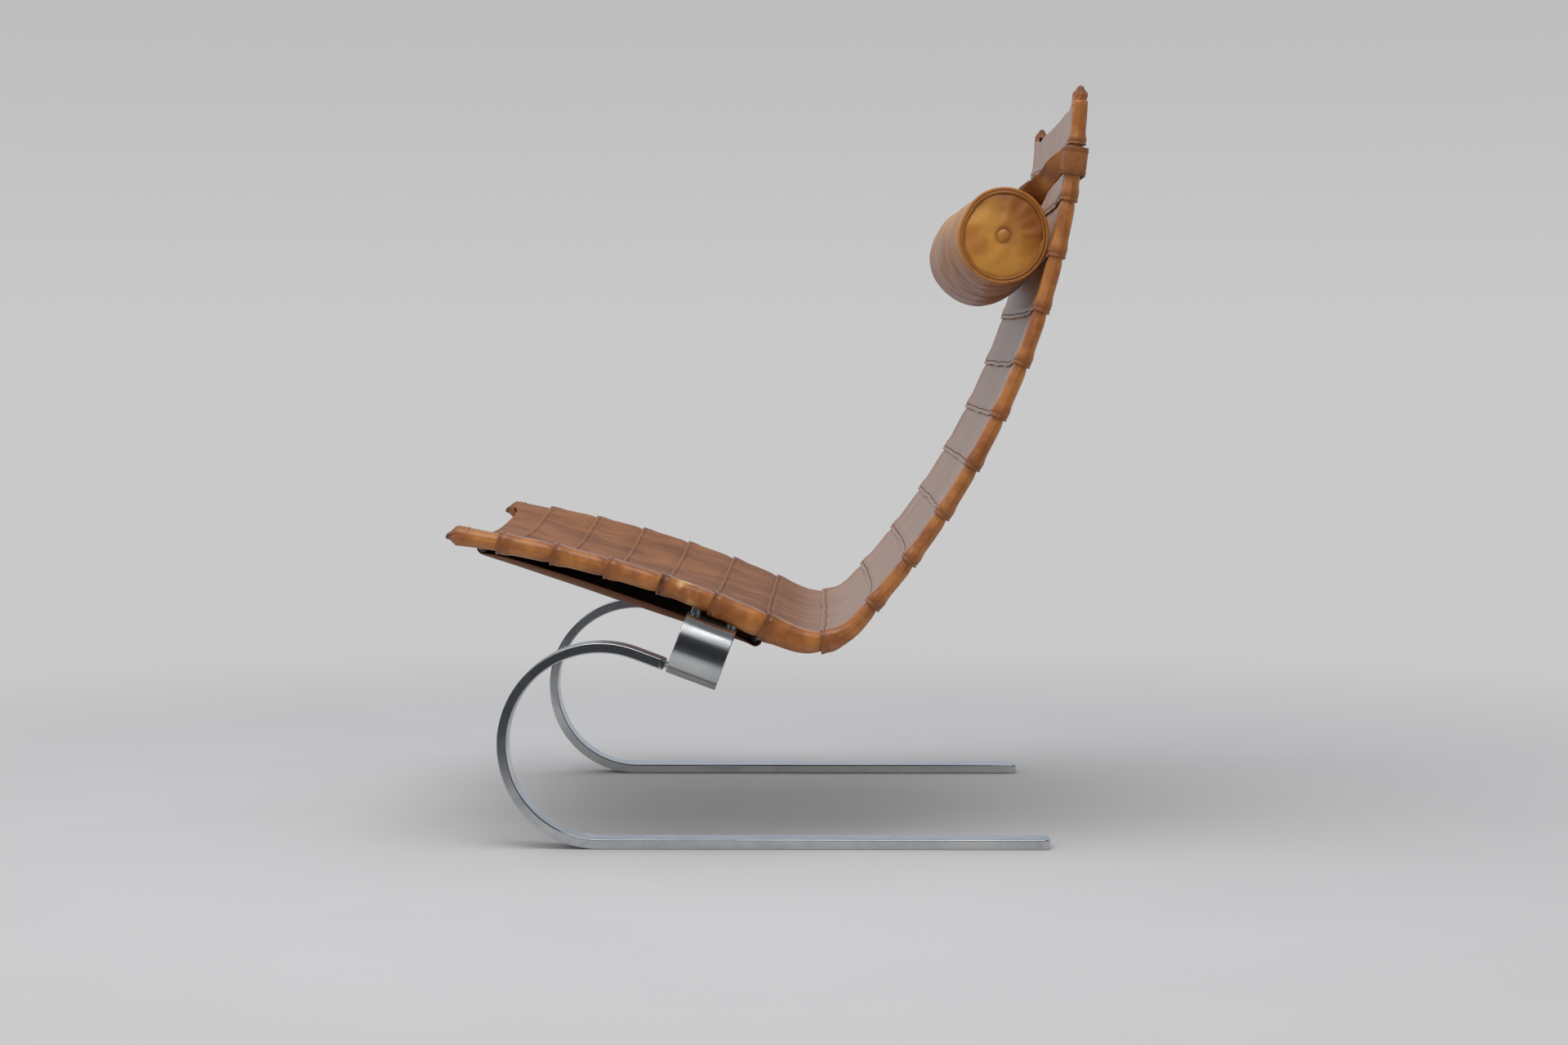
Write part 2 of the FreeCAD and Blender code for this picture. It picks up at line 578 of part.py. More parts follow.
def strip_solid(start, end, hem_lift, sections):
    """A strip lofted along the side line, falling from its hem to its covered end."""
    wires = []
    for number in range(sections):
        along = start + (end - start) * number / (sections - 1)
        lift = hem_lift - (along - start) / size["strip_length"]
        wires.append(strip_outline(along, lift))
    return Part.makeLoft(wires, True, False)


HEMS = [-size["nose_length"]]
HEMS += [size["first_hem"] + number * size["strip_pitch"] for number in range(int(size["strip_count"]) - 1)]
spacer_reach = size["bolt_radius"] + size["fit"] + size["spacer_wall"] + size["clearance"]
for number, start in enumerate(HEMS):
    last = number == len(HEMS) - 1
    end = BACK_END if last else HEMS[number + 1] + size["strip_overlap"]
    tight = start < BEND_END and end > SEAT_END
    hem_lift = 1 if last else (end - start) / size["strip_length"]
    solid = strip_solid(start, end, hem_lift, 7 if tight else 3)
    for seat, gap in bolt_places:
        solid = solid.cut(Part.makeCylinder(spacer_reach, gap + size["rail_edge"], seat, OFF_SLOPE))
    name = "strip_%02d" % (number + 1)
    keep(helper(solid, name + "_leather"), name)


# Leather caps that close the four ends of the wrapped rails
def rail_cap(side, along, way):
    """A rounded leather block beyond a rail's end."""
    point, tangent, normal = side_line(along)
    depth = wrap_depth(along) - size["clearance"]
    width = size["strip_return"]
    block = Part.makeBox(width, depth, size["cap_length"])
    place = frame_at(point - normal * (depth + size["clearance"] / 2) + tangent * (way * size["clearance"])
                     + X_AXIS * (side * (size["rail_spread"] / 2 + size["leather"] - width / 2) - width / 2),
                     X_AXIS, normal)
    # The frame's third axis runs against the side line
    turn = FreeCAD.Placement(Vector(0, 0, -size["cap_length"] if way > 0 else 0), FreeCAD.Rotation())
    block.Placement = place.multiply(turn)
    tip = [edge for edge in block.Edges
           if (edge.CenterOfMass - point).dot(tangent) * way > size["cap_length"]]
    return block.makeFillet(size["cap_length"] * 0.6, tip)


for side, word in ((LEFT, "left"), (RIGHT, "right")):
    keep(helper(rail_cap(side, HEMS[0], -1), word + "_front_cap_leather"), word + "_front_cap")
    keep(helper(rail_cap(side, BACK_END, 1), word + "_top_cap_leather"), word + "_top_cap")


# Sling: a leather panel pulled tight under the seat, looped round the two crossbars
def rod_centre(at, drop):
    point, tangent, normal = side_line(size[at])
    return point - normal * (size["rod_level"] + size[drop]), tangent, normal


def sling():
    """A band hooked round the bowed front rod and the straight rear rod, ruled between cuts across X."""
    front, _, front_up = rod_centre("front_rod_at", "front_rod_drop")
    rear, _, _ = rod_centre("rear_rod_at", "rear_rod_drop")
    half = size["sling_width"] / 2
    bow = size["front_bow_radius"]
    level = math.sqrt(bow * bow - (size["front_rod_span"] / 2) ** 2)
    inner = size["rod_radius"] + size["clearance"]
    outer = inner + size["leather"]
    hook = math.radians(size["sling_hook"])

    def cut_at(across):
        """The band's outline at a distance from the chair's middle."""
        near = front - front_up * (math.sqrt(bow * bow - across * across) - level)
        along = (rear - near).normalize()
        down = Vector(0, along.z, -along.y)

        def on(centre, way, radius, angle):
            return centre + X_AXIS * across + (down * math.cos(angle) + along * (way * math.sin(angle))) * radius

        def bend(centre, way, radius, first, last):
            return arc(*[on(centre, way, radius, first + (last - first) * share) for share in (0, 0.5, 1)])

        edges = []
        for radius, ends in ((outer, ((near, -1), (rear, 1))), (inner, ((rear, 1), (near, -1)))):
            (start, back), (stop, ahead) = ends
            edges += [bend(start, back, radius, hook, hook / 2), bend(start, back, radius, hook / 2, 0),
                      line(on(start, back, radius, 0), on(stop, ahead, radius, 0)),
                      bend(stop, ahead, radius, 0, hook / 2), bend(stop, ahead, radius, hook / 2, hook)]
            other = inner if radius == outer else outer
            edges.append(line(on(stop, ahead, radius, hook), on(stop, ahead, other, hook)))
        return Part.Wire(edges)

    return Part.makeLoft([cut_at(half * (number / 4 - 1)) for number in range(9)], True, True)


keep(helper(sling(), "sling_leather"), "seat_sling")


# Headrest belt: a leather band that slides on the back and turns round both rails
def round_rectangle(sketch, half, low, high, radius):
    """A rounded rectangle, symmetrical about the sketch's Y axis."""
    wide, bottom, top, turn = size[half], size[low], size[high], size[radius]
    first = sketch.GeometryCount
    corners = [(1, bottom, -90), (1, top, 0), (-1, top, 90), (-1, bottom, 180)]
    for way, level, start in corners:
        inward = 1 if level == bottom else -1
        centre = Vector(way * (wide - turn), level + inward * turn, 0)
        circle = Part.Circle(centre, Vector(0, 0, 1), turn)
        sketch.addGeometry(Part.ArcOfCircle(circle, math.radians(start), math.radians(start + 90)), False)
    for number in range(4):
        end = sketch.Geometry[first + number].EndPoint
        begin = sketch.Geometry[first + (number + 1) % 4].StartPoint
        sketch.addGeometry(Part.LineSegment(end, begin), False)
    for number in range(4):
        straight = first + 4 + number
        sketch.addConstraint(Sketcher.Constraint("Tangent", first + number, 2, straight, 1))
        sketch.addConstraint(Sketcher.Constraint("Tangent", straight, 2, first + (number + 1) % 4, 1))
        sketch.addConstraint(Sketcher.Constraint("Horizontal" if number % 2 else "Vertical", straight))
    for number in range(1, 4):
        sketch.addConstraint(Sketcher.Constraint("Equal", first, first + number))
    bind(sketch, "Radius", radius + "_%d" % first, radius, first)
    bind(sketch, "DistanceX", half + "_right", half, -1, 1, first + 4, 1)
    bind(sketch, "DistanceX", half + "_left", half, first + 6, 1, -1, 1)
    bind(sketch, "DistanceY", high, high, -1, 1, first + 5, 1)
    bind(sketch, "DistanceY", low, low, -1, 1, first + 7, 1)


def belt():
    """The belt's ring section, revolved over the belt's height."""
    _, _, normal = side_line(size["belt_at"])
    body = doc.addObject("PartDesign::Body", "belt_body")
    sketch = body.newObject("Sketcher::SketchObject", "belt_section")
    sketch.AttachmentSupport = [(origin_plane(body, "XY_Plane"), "")]
    sketch.MapMode = "FlatFace"
    round_rectangle(sketch, "belt_outer_half", "belt_front_outer", "belt_rear_outer", "belt_corner")
    round_rectangle(sketch, "belt_inner_half", "belt_front_inner", "belt_rear_inner", "belt_inner_corner")
    doc.recompute()
    turned = body.newObject("PartDesign::Revolution", "belt_turned")
    turned.Profile = sketch
    turned.ReferenceAxis = (sketch, ["H_Axis"])
    turned.setExpression("Angle", "Dimensions.belt_turn")
    body.Placement = frame_at(BACK_CENTRE, X_AXIS, -normal)
    doc.recompute()
    return body


# The belt is open at the front between the rails; the cutting box is twice the belt's height
belt_gap = doc.addObject("Part::Box", "belt_gap")
belt_gap.setExpression("Length", "Dimensions.rail_gap")
belt_gap.setExpression("Width", "Dimensions.belt_corner + Dimensions.clearance")
belt_gap.setExpression("Height", "Dimensions.belt_height * 2")
point, tangent, normal = side_line(size["belt_at"] - size["belt_height"] / 2)
belt_gap.Placement = frame_at(point - normal * size["clearance"] - X_AXIS * (size["rail_gap"] / 2)
                              + tangent * (2 * size["belt_height"]), X_AXIS, normal)
keep(cut("belt_open", belt(), [belt_gap]), "headrest_belt")


# Bolster: a roll that swells and sags towards its middle
def bolster_centre(across):
    """Centre of the roll at a distance from its middle."""
    share = 1 - (2 * across / size["bolster_length"]) ** 2
    fall = size["bolster_sag"] * share * math.sqrt(0.5)
    return Vector(across, size["bolster_y"] - fall, size["bolster_z"] - fall)


def bolster_radius(across):
    return size["bolster_radius"] + size["bolster_swell"] * (1 - (2 * across / size["bolster_length"]) ** 2)


def third_circle(centre, radius, start):
    """A third of a circle across the chair."""
    spots = []
    for step in range(3):
        angle = math.radians(start + 60 * step)
        spots.append(centre + Vector(0, math.cos(angle), math.sin(angle)) * radius)
    return arc(*spots)


def roll(inset, end_gap):
    """The roll's solid, smaller by an inset all round and by a gap at its ends."""
    reach = size["bolster_length"] / 2 - end_gap
    wires = []
    for number in range(9):
        across = reach * (number / 4 - 1)
        centre, radius = bolster_centre(across), bolster_radius(across) - inset
        wires.append(Part.Wire([third_circle(centre, radius, start) for start in (0, 120, 240)]))
    return Part.makeLoft(wires, True, False)


keep(helper(roll(0, 0).cut(roll(size["cover"], -1)), "cover_leather"), "bolster_cover")
keep(helper(roll(size["cover"] + size["clearance"], size["clearance"]), "core_filling"), "bolster_core")

end_radius = size["bolster_radius"] - size["clearance"] - size["piping_radius"]
for side, word in ((LEFT, "left"), (RIGHT, "right")):
    direction = X_AXIS * side
    middle = bolster_centre(side * size["bolster_length"] / 2)
    face = middle + direction * size["clearance"]
    disc = Part.makeCylinder(end_radius - size["piping_radius"] - size["clearance"], size["end_cap_depth"],
                             face, direction)
    rim = [edge for edge in disc.Edges if (edge.CenterOfMass - face).dot(direction) > size["clearance"]
           and edge.Curve.TypeId == "Part::GeomCircle"]
    keep(helper(disc.makeFillet(size["end_cap_depth"] / 2, rim), word + "_cap_leather"), word + "_bolster_cap")
    ring = Part.makeTorus(end_radius, size["piping_radius"], face + direction * size["piping_radius"],
                          X_AXIS)
    keep(helper(ring, word + "_piping_leather"), word + "_bolster_piping")
    button_face = face + direction * (size["end_cap_depth"] + size["clearance"] / 2)
    button = Part.makeCylinder(size["button_radius"], size["button_depth"], button_face, direction)
    dome = [edge for edge in button.Edges if (edge.CenterOfMass - button_face).dot(direction) > size["clearance"]
            and edge.Curve.TypeId == "Part::GeomCircle"]
    keep(helper(button.makeFillet(size["button_depth"] * 0.6, dome), word + "_button_leather"),
         word + "_bolster_button")


# Hangers: the belt's two ends, which turn down to the roll; it swings about the belt's upper edge
BELT_TOP, BELT_TANGENT, BELT_NORMAL = side_line(size["belt_at"] + size["belt_height"])
HINGE = BELT_TOP + BELT_NORMAL * (size["clearance"] + size["leather"] / 2)


def hanger(side):
    """A twisted strap end, ruled between the belt's inner edge and the top of the roll."""
    thick = size["leather"]
    low, _, normal = side_line(size["belt_at"])
    near = X_AXIS * (side * (size["rail_gap"] / 2 - size["clearance"]))
    off = BELT_NORMAL * size["clearance"]
    upper = BELT_TOP + off - BELT_TANGENT * (thick / 2)
    start = [low + normal * size["clearance"] + near, low + normal * (size["clearance"] + thick) + near,
             upper + BELT_NORMAL * thick + near, upper + near]
    across = side * size["hanger_at"]
    centre = bolster_centre(across)
    radius = bolster_radius(across) + size["clearance"]
    middle = math.radians(size["hanger_angle"])
    spread = math.asin(size["belt_height"] / 2 / (radius + thick))
    floor = radius / math.cos(spread)

    def on(distance, angle):
        return centre + Vector(0, math.cos(angle), math.sin(angle)) * distance

    end = [on(floor, middle - spread), on(floor + thick, middle - spread),
           on(floor + thick, middle + spread), on(floor, middle + spread)]
    wires = [Part.Wire(Part.makePolygon(corners + [corners[0]])) for corners in (start, end)]
    return Part.makeLoft(wires, True, True)


for side, word in ((LEFT, "left"), (RIGHT, "right")):
    keep(helper(hanger(side), word + "_hanger_leather"), word + "_hanger")

# Every object is sound before anything is written
doc.recompute()
for piece in doc.Objects:
    if "Invalid" in piece.State or "Error" in piece.State:
        raise RuntimeError("failed object: " + piece.Name)
os.makedirs("parts", exist_ok=True)
whole = FreeCAD.BoundBox()
for piece in parts:
    shape = piece.Shape
    if shape.isNull() or not shape.isValid() or not shape.Solids:
        raise RuntimeError("unsound shape: " + piece.Label)
    whole.add(shape.optimalBoundingBox(False, False))
    shape.exportStep("parts/%s.step" % piece.Label)
print("nodes", len(parts))
print("whole part", whole)
print("back centre", BACK_CENTRE, "bolster hinge", HINGE)
print("flange middle", FLANGE_TOP, "rises to the rail", [round(gap, 2) for seat, gap in bolt_places])
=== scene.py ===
import functools
import math

import bmesh
import bpy
from mathutils import Matrix, Vector, noise


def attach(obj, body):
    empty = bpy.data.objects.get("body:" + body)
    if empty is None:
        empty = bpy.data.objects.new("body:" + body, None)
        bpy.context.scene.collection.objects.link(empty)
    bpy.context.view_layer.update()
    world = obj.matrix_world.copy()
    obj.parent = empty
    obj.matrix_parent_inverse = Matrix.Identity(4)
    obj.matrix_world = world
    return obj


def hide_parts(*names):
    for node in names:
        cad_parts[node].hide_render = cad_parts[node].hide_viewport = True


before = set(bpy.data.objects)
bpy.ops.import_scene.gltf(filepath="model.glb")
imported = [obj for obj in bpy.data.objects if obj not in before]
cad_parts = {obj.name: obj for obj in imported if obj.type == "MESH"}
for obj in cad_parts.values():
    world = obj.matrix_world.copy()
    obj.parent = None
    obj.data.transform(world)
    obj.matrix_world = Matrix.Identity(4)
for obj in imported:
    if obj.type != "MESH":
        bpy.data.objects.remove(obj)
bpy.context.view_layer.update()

# Lengths below are millimetres until a mesh is finished; MM turns them into metres.
MM = 0.001

# The seat's side line, as the CAD part has it
FRONT = (-348.1, 379.0)
FRONT_SLOPE = 9.0
STRETCHES = ((1460.0, 15.8, -1), (56.0, 71.8, 1), (962.0, 40.3, 1))
SEAT_END = 402.6
BACK_END = 1149.4
RAIL_OUTER = 347.0
RAIL_INNER = 323.0
PITCH = 66.1
STRIP_LENGTH = 78.1
HEMS = [-16.0] + [33.6 + PITCH * number for number in range(17)]
RISE = 3.4265
LEATHER = 2.5
WRAP_BACK = 17.2265
BOLSTER_HALF = 280.0


def side_line(along):
    """Point, heading and upward normal of the side line, each as (y, z)."""
    y, z = FRONT
    angle = math.radians(-FRONT_SLOPE)
    if along < 0:
        return ((y + along * math.cos(angle), z + along * math.sin(angle)),
                (math.cos(angle), math.sin(angle)), (-math.sin(angle), math.cos(angle)))
    rest = along
    for radius, turn, way in STRETCHES:
        sweep = math.radians(turn)
        centre = (y - math.sin(angle) * way * radius, z + math.cos(angle) * way * radius)
        length = sweep * radius
        share = sweep if rest > length and radius != STRETCHES[-1][0] else rest / radius
        end = angle + way * share
        y, z = centre[0] + math.sin(end) * way * radius, centre[1] - math.cos(end) * way * radius
        angle = end
        if share != sweep:
            break
        rest -= length
    return (y, z), (math.cos(angle), math.sin(angle)), (-math.sin(angle), math.cos(angle))


def smooth(value):
    value = min(1.0, max(0.0, value))
    return value * value * (3 - 2 * value)


def bump_at(value, middle, width):
    """A soft hill of height 1."""
    return math.exp(-((value - middle) / width) ** 2)


def ripple(*where):
    """Smooth noise from -1 to 1 at a point given in any units."""
    return noise.noise(Vector((where + (0.0, 0.0))[:3]))


def angle_x(angle):
    """With angle_y, a place on a circle, so that noise read there joins up after a full turn."""
    return math.cos(angle) + 3


def angle_y(angle):
    return math.sin(angle) + 5


def wrap_depth(along):
    seat = 1 - smooth((along - 364) / (2 * PITCH))
    rear = 1 - smooth(abs(along - 364 - 0.2 * PITCH) / (2 * PITCH))
    return WRAP_BACK + 5 * seat + 8 * rear


def leather_sag(along):
    deepest = 2.5 * PITCH
    if along < deepest:
        seat = 0.6 + 0.4 * smooth(along / deepest)
    else:
        seat = 1 - smooth((along - deepest) / (SEAT_END - deepest))
    top = 0.5 + 0.5 * smooth((BACK_END - along) / (5 * PITCH))
    return 10 * top + 19 * seat


def beside(along, across, up):
    """A point of the chair: along the side line, across the width and up off the line."""
    (y, z), _, (ny, nz) = side_line(along)
    return Vector((across, y + ny * up, z + nz * up))


# Shader sums as plain expressions
class Wire:
    """A socket of one finish, with arithmetic."""

    def __init__(self, finish, socket):
        self.finish, self.socket = finish, socket

    def sum(self, operation, *others, first=None):
        start = self if first is None else first
        return self.finish.node("Math", {"operation": operation}, dict(enumerate((start,) + others)))

    def __add__(self, other):
        return self.sum("ADD", other)

    __radd__ = __add__

    def __mul__(self, other):
        return self.sum("MULTIPLY", other)

    __rmul__ = __mul__

    def __sub__(self, other):
        return self.sum("SUBTRACT", other)

    def __rsub__(self, other):
        return self.sum("SUBTRACT", self, first=other)

    def between(self, low, high):
        """0 below low, 1 above high, soft in between; low may be the larger."""
        flip = low > high
        soft = self.finish.node("MapRange", {"interpolation_type": "SMOOTHSTEP"},
                                {0: self, 1: min(low, high), 2: max(low, high)})
        return 1 - soft if flip else soft


class Finish:
    """One material, built around a single surface shader."""

    def __init__(self, name, **constants):
        self.material = bpy.data.materials.new(name)
        self.material.use_nodes = True
        self.tree = self.material.node_tree
        self.shader = self.tree.nodes["Principled BSDF"]
        for key, value in constants.items():
            self.shader.inputs[key.replace("_", " ").title().replace("Ior", "IOR")].default_value = value

    def node(self, kind, settings, inputs, out=0):
        """Any node: its settings first, then the values or wires of its sockets."""
        made = self.tree.nodes.new("ShaderNode" + kind)
        for key, value in settings.items():
            if key == "stops":
                ramp = made.color_ramp.elements
                while len(ramp) < len(value):
                    ramp.new(0.5)
                for stop, (place, colour) in zip(ramp, value):
                    stop.position, stop.color = place, colour
            else:
                setattr(made, key, value)
        for key, value in inputs.items():
            if isinstance(value, Wire):
                self.tree.links.new(value.socket, made.inputs[key])
            else:
                made.inputs[key].default_value = value
        return Wire(self, made.outputs[out])

    def attribute(self, name, out="Fac"):
        return self.node("Attribute", {"attribute_name": name}, {}, out)

    def place(self):
        return self.node("TexCoord", {}, {}, "Object")

    def stretched(self, vector, scale):
        return self.node("VectorMath", {"operation": "MULTIPLY"}, {0: vector, 1: scale})

    def cloud(self, vector, scale, detail=3.0, rough=0.55, warp=0.0):
        return self.node("TexNoise", {}, {"Vector": vector, "Scale": scale, "Detail": detail,
                                          "Roughness": rough, "Distortion": warp})

    def cells(self, vector, scale, feature="DISTANCE_TO_EDGE"):
        return self.node("TexVoronoi", {"feature": feature}, {"Vector": vector, "Scale": scale})

    def mix(self, share, first, second, way="MIX"):
        return self.node("Mix", {"data_type": "RGBA", "blend_type": way}, {0: share, 6: first, 7: second}, 2)

    def relief(self, height, strength, distance, below=None):
        inputs = {"Height": height, "Strength": strength, "Distance": distance}
        if below:
            inputs["Normal"] = below
        return self.node("Bump", {}, inputs)

    def surface(self, **wires):
        for key, wire in wires.items():
            self.tree.links.new(wire.socket, self.shader.inputs[key.replace("_", " ").title()])
        return self.material


def tone(red, green, blue):
    """A colour named by its 0 to 255 screen values."""
    line = [(c / 255 / 12.92) if c < 11 else ((c / 255 + 0.055) / 1.055) ** 2.4 for c in (red, green, blue)]
    return tuple(line) + (1.0,)


# Leather finishes
def strip_leather():
    """Aged natural leather: brushed-looking streaks on the sitting face that are partly painted sheen, paler on the
    back's sitting face with painted sheen, orange and glossy round the rails.
    """
    f = Finish("strip_leather", coat_roughness=0.22, specular_ior_level=0.42)
    lay, spot = f.attribute("lay", "Vector"), f.place()
    wrap, hem, wear = f.attribute("wrap"), f.attribute("hem"), f.attribute("wear")
    streak = f.cloud(f.stretched(lay, (420.0, 26.0, 1.0)), 1.0, 4.0, 0.6)
    broad = f.cloud(f.stretched(lay, (16.0, 7.0, 1.0)), 1.0, 3.0, 0.5)
    mottle = f.cloud(f.stretched(spot, (34.0, 34.0, 34.0)), 1.0, 5.0, 0.62)
    fine = f.cloud(f.stretched(spot, (260.0, 260.0, 260.0)), 1.0, 3.0, 0.6)
    face = f.mix(broad.between(0.35, 0.66), tone(122, 64, 22), tone(154, 92, 40))
    # Lighter streaks along the strips: a brushed texture and also painted sheen.
    face = f.mix(streak.between(0.40, 0.72) * 0.6, face, tone(186, 136, 84))
    back = f.attribute("back")
    # Painted sheen: the sitting face of the back is mixed paler, in streaks, for its grazing reflection of the
    # surround.
    face = f.mix(back * (streak.between(0.34, 0.68) * 0.30 + 0.30), face, tone(188, 156, 124))
    rail = f.mix(mottle.between(0.30, 0.70), tone(142, 78, 26), tone(182, 114, 46))
    rail = f.mix(mottle.between(0.62, 0.82) * 0.5, rail, tone(204, 144, 70))
    colour = f.mix(wrap, face, rail)
    stain = (mottle.between(0.40, 0.66) * 0.55 + 0.45) * hem.between(20.0, 1.0)
    colour = f.mix(stain * (wrap * 0.5 + 0.22), colour, tone(108, 52, 24))
    # Painted highlight: a pale line along the raised hem bead on the sitting faces.
    ridge = hem.between(3.8, 1.8) * (1 - wrap)
    colour = f.mix(ridge * 0.4, colour, tone(190, 140, 92))
    colour = f.mix(wear.between(0.15, 0.9) * mottle.between(0.36, 0.60), colour, tone(84, 38, 20))
    colour = f.mix((0.0 - wear).between(0.15, 0.9) * mottle.between(0.45, 0.62), colour, tone(214, 168, 106))
    colour = f.mix(fine.between(0.56, 0.80) * 0.14, colour, tone(92, 50, 26))
    grain = f.cells(spot, 900.0)
    crease = f.cloud(f.stretched(lay, (70.0, 150.0, 1.0)), 1.0, 5.0, 0.6, 0.6)
    normal = f.relief(crease, 0.30, 0.0012)
    normal = f.relief(streak, 0.10, 0.0006, normal)
    normal = f.relief(grain, 0.16, 0.0004, normal)
    rough = 0.50 - wrap * 0.10 + fine * 0.12 - back * 0.06
    gloss = wrap * 0.55 + back * (1 - wrap) * 0.45
    return f.surface(base_color=colour, roughness=rough, coat_weight=gloss, normal=normal)


def hide_leather(name, dark, light, deep, sheen=0.35, rough=0.44, coat=0.15):
    """Plain natural leather in two shades with darker stains and a fine grain."""
    f = Finish(name, coat_weight=coat, coat_roughness=0.25, specular_ior_level=sheen)
    spot = f.place()
    mottle = f.cloud(spot, 24.0, 5.0, 0.6)
    fine = f.cloud(spot, 240.0, 3.0, 0.6)
    colour = f.mix(mottle.between(0.32, 0.68), dark, light)
    colour = f.mix(f.cloud(spot, 55.0, 4.0, 0.65, 0.8).between(0.54, 0.78) * 0.7, colour, deep)
    colour = f.mix(f.attribute("shade") * (mottle * 0.6 + 0.6), colour, deep)
    normal = f.relief(f.cloud(spot, 120.0, 5.0, 0.65, 0.5), 0.28, 0.0012)
    normal = f.relief(f.cells(spot, 900.0), 0.16, 0.0004, normal)
    return f.surface(base_color=colour, roughness=fine * 0.16 + (rough - 0.06), normal=normal)


def flesh_leather():
    """The rough, fibrous inner side of the hides."""
    f = Finish("flesh_leather")
    spot = f.place()
    fibre = f.cloud(f.stretched(spot, (380.0, 380.0, 380.0)), 1.0, 5.0, 0.7, 1.2)
    mottle = f.cloud(spot, 26.0, 4.0, 0.6)
    colour = f.mix(mottle.between(0.3, 0.7), tone(112, 84, 62), tone(150, 124, 98))
    colour = f.mix(fibre.between(0.45, 0.75) * 0.5, colour, tone(178, 158, 134))
    return f.surface(base_color=colour, roughness=fibre * 0.1 + 0.82, normal=f.relief(fibre, 0.6, 0.0012))


def thread():
    """Waxed stitching thread."""
    f = Finish("stitch_thread")
    twist = f.node("TexWave", {"bands_direction": "DIAGONAL"},
                   {"Vector": f.place(), "Scale": 900.0, "Distortion": 2.0})
    colour = f.mix(twist, tone(84, 50, 28), tone(142, 96, 58))
    return f.surface(base_color=colour, roughness=twist * 0.2 + 0.5)


def bolster_leather():
    """Soft golden leather with painted shade where the roll turns down."""
    f = Finish("bolster_leather", coat_weight=0.30, coat_roughness=0.18)
    spot = f.place()
    mottle = f.cloud(spot, 20.0, 4.0, 0.6)
    fine = f.cloud(spot, 300.0, 3.0, 0.6)
    colour = f.mix(mottle.between(0.32, 0.66), tone(178, 112, 34), tone(206, 146, 54))
    colour = f.mix(f.attribute("shade") * (mottle * 0.5 + 0.6), colour, tone(124, 58, 20))
    colour = f.mix(f.attribute("rub") * 0.6, colour, tone(140, 84, 36))
    colour = f.mix(fine.between(0.58, 0.80) * 0.16, colour, tone(110, 62, 28))
    colour = f.mix(f.cloud(spot, 90.0, 4.0, 0.7, 1.0).between(0.64, 0.76) * 0.5, colour, tone(122, 70, 30))
    normal = f.relief(f.cloud(spot, 70.0, 5.0, 0.6, 0.6), 0.22, 0.0012)
    normal = f.relief(f.cells(spot, 850.0), 0.14, 0.0004, normal)
    return f.surface(base_color=colour, roughness=fine * 0.14 + 0.36, normal=normal)


# Steel finishes
def steel(name, colour, other, rough, grain, deep):
    """Bare or plated steel with handling marks and a drawn grain."""
    f = Finish(name, metallic=1.0)
    spot = f.place()
    drawn = f.cloud(f.stretched(spot, grain), 1.0, 3.0, 0.6)
    smear = f.cloud(spot, 16.0, 4.0, 0.6, 0.6)
    speck = f.cells(spot, 120.0, "F1")
    blend = f.mix(smear.between(0.35, 0.7), colour, other)
    blend = f.mix(speck.between(0.10, 0.02) * smear.between(0.52, 0.6) * 0.6, blend, tone(96, 94, 92))
    height = drawn * deep + smear * 0.3
    gloss = rough + drawn * 0.06 + smear.between(0.45, 0.75) * 0.10
    return f.surface(base_color=blend, roughness=gloss, normal=f.relief(height, 0.12, 0.0003))


def dark_steel():
    """Satin steel of the hidden inner frame, with a faint bloom."""
    f = Finish("frame_steel", metallic=0.4)
    spot = f.place()
    smear = f.cloud(spot, 40.0, 4.0, 0.6)
    colour = f.mix(smear.between(0.4, 0.7), tone(26, 20, 16), tone(40, 32, 26))
    return f.surface(base_color=colour, roughness=smear * 0.2 + 0.35, normal=f.relief(smear, 0.1, 0.0006))


POLISHED = steel("polished_steel", tone(206, 208, 208), tone(190, 193, 196), 0.13, (40.0, 14.0, 14.0), 0.5)
BRUSHED = steel("cradle_steel", tone(200, 202, 202), tone(182, 185, 187), 0.17, (900.0, 30.0, 30.0), 1.2)
BRIGHT = steel("bright_steel", tone(190, 192, 192), tone(170, 172, 174), 0.22, (300.0, 300.0, 300.0), 0.6)
PLATED = steel("bolt_steel", tone(120, 120, 122), tone(98, 98, 100), 0.34, (200.0, 200.0, 200.0), 0.8)
HIDDEN = dark_steel()
STRIP = strip_leather()
FLESH = flesh_leather()
CAP = hide_leather("cap_leather", tone(140, 78, 34), tone(168, 102, 46), tone(86, 38, 18), coat=0.4)
SLING = hide_leather("sling_leather", tone(124, 68, 32), tone(150, 88, 44), tone(74, 38, 18), 0.3, 0.5, 0.0)
BELT = hide_leather("belt_leather", tone(138, 80, 36), tone(172, 110, 52), tone(88, 44, 20))
ROLL = bolster_leather()
PIPING = hide_leather("piping_leather", tone(168, 104, 38), tone(194, 130, 54), tone(120, 64, 24), coat=0.5)
THREAD = thread()

for names, finish in ((("left_leg", "right_leg"), POLISHED), (("cradle_band",), BRUSHED),
                      (("leg_studs", "cradle_spacers"), BRIGHT), (("cradle_bolts", "cradle_washers"), PLATED),
                      (("left_rail", "right_rail", "front_crossbar", "rear_crossbar", "top_crossbar"), HIDDEN)):
    for name in names:
        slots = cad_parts[name].data.materials
        slots.clear()
        slots.append(finish)


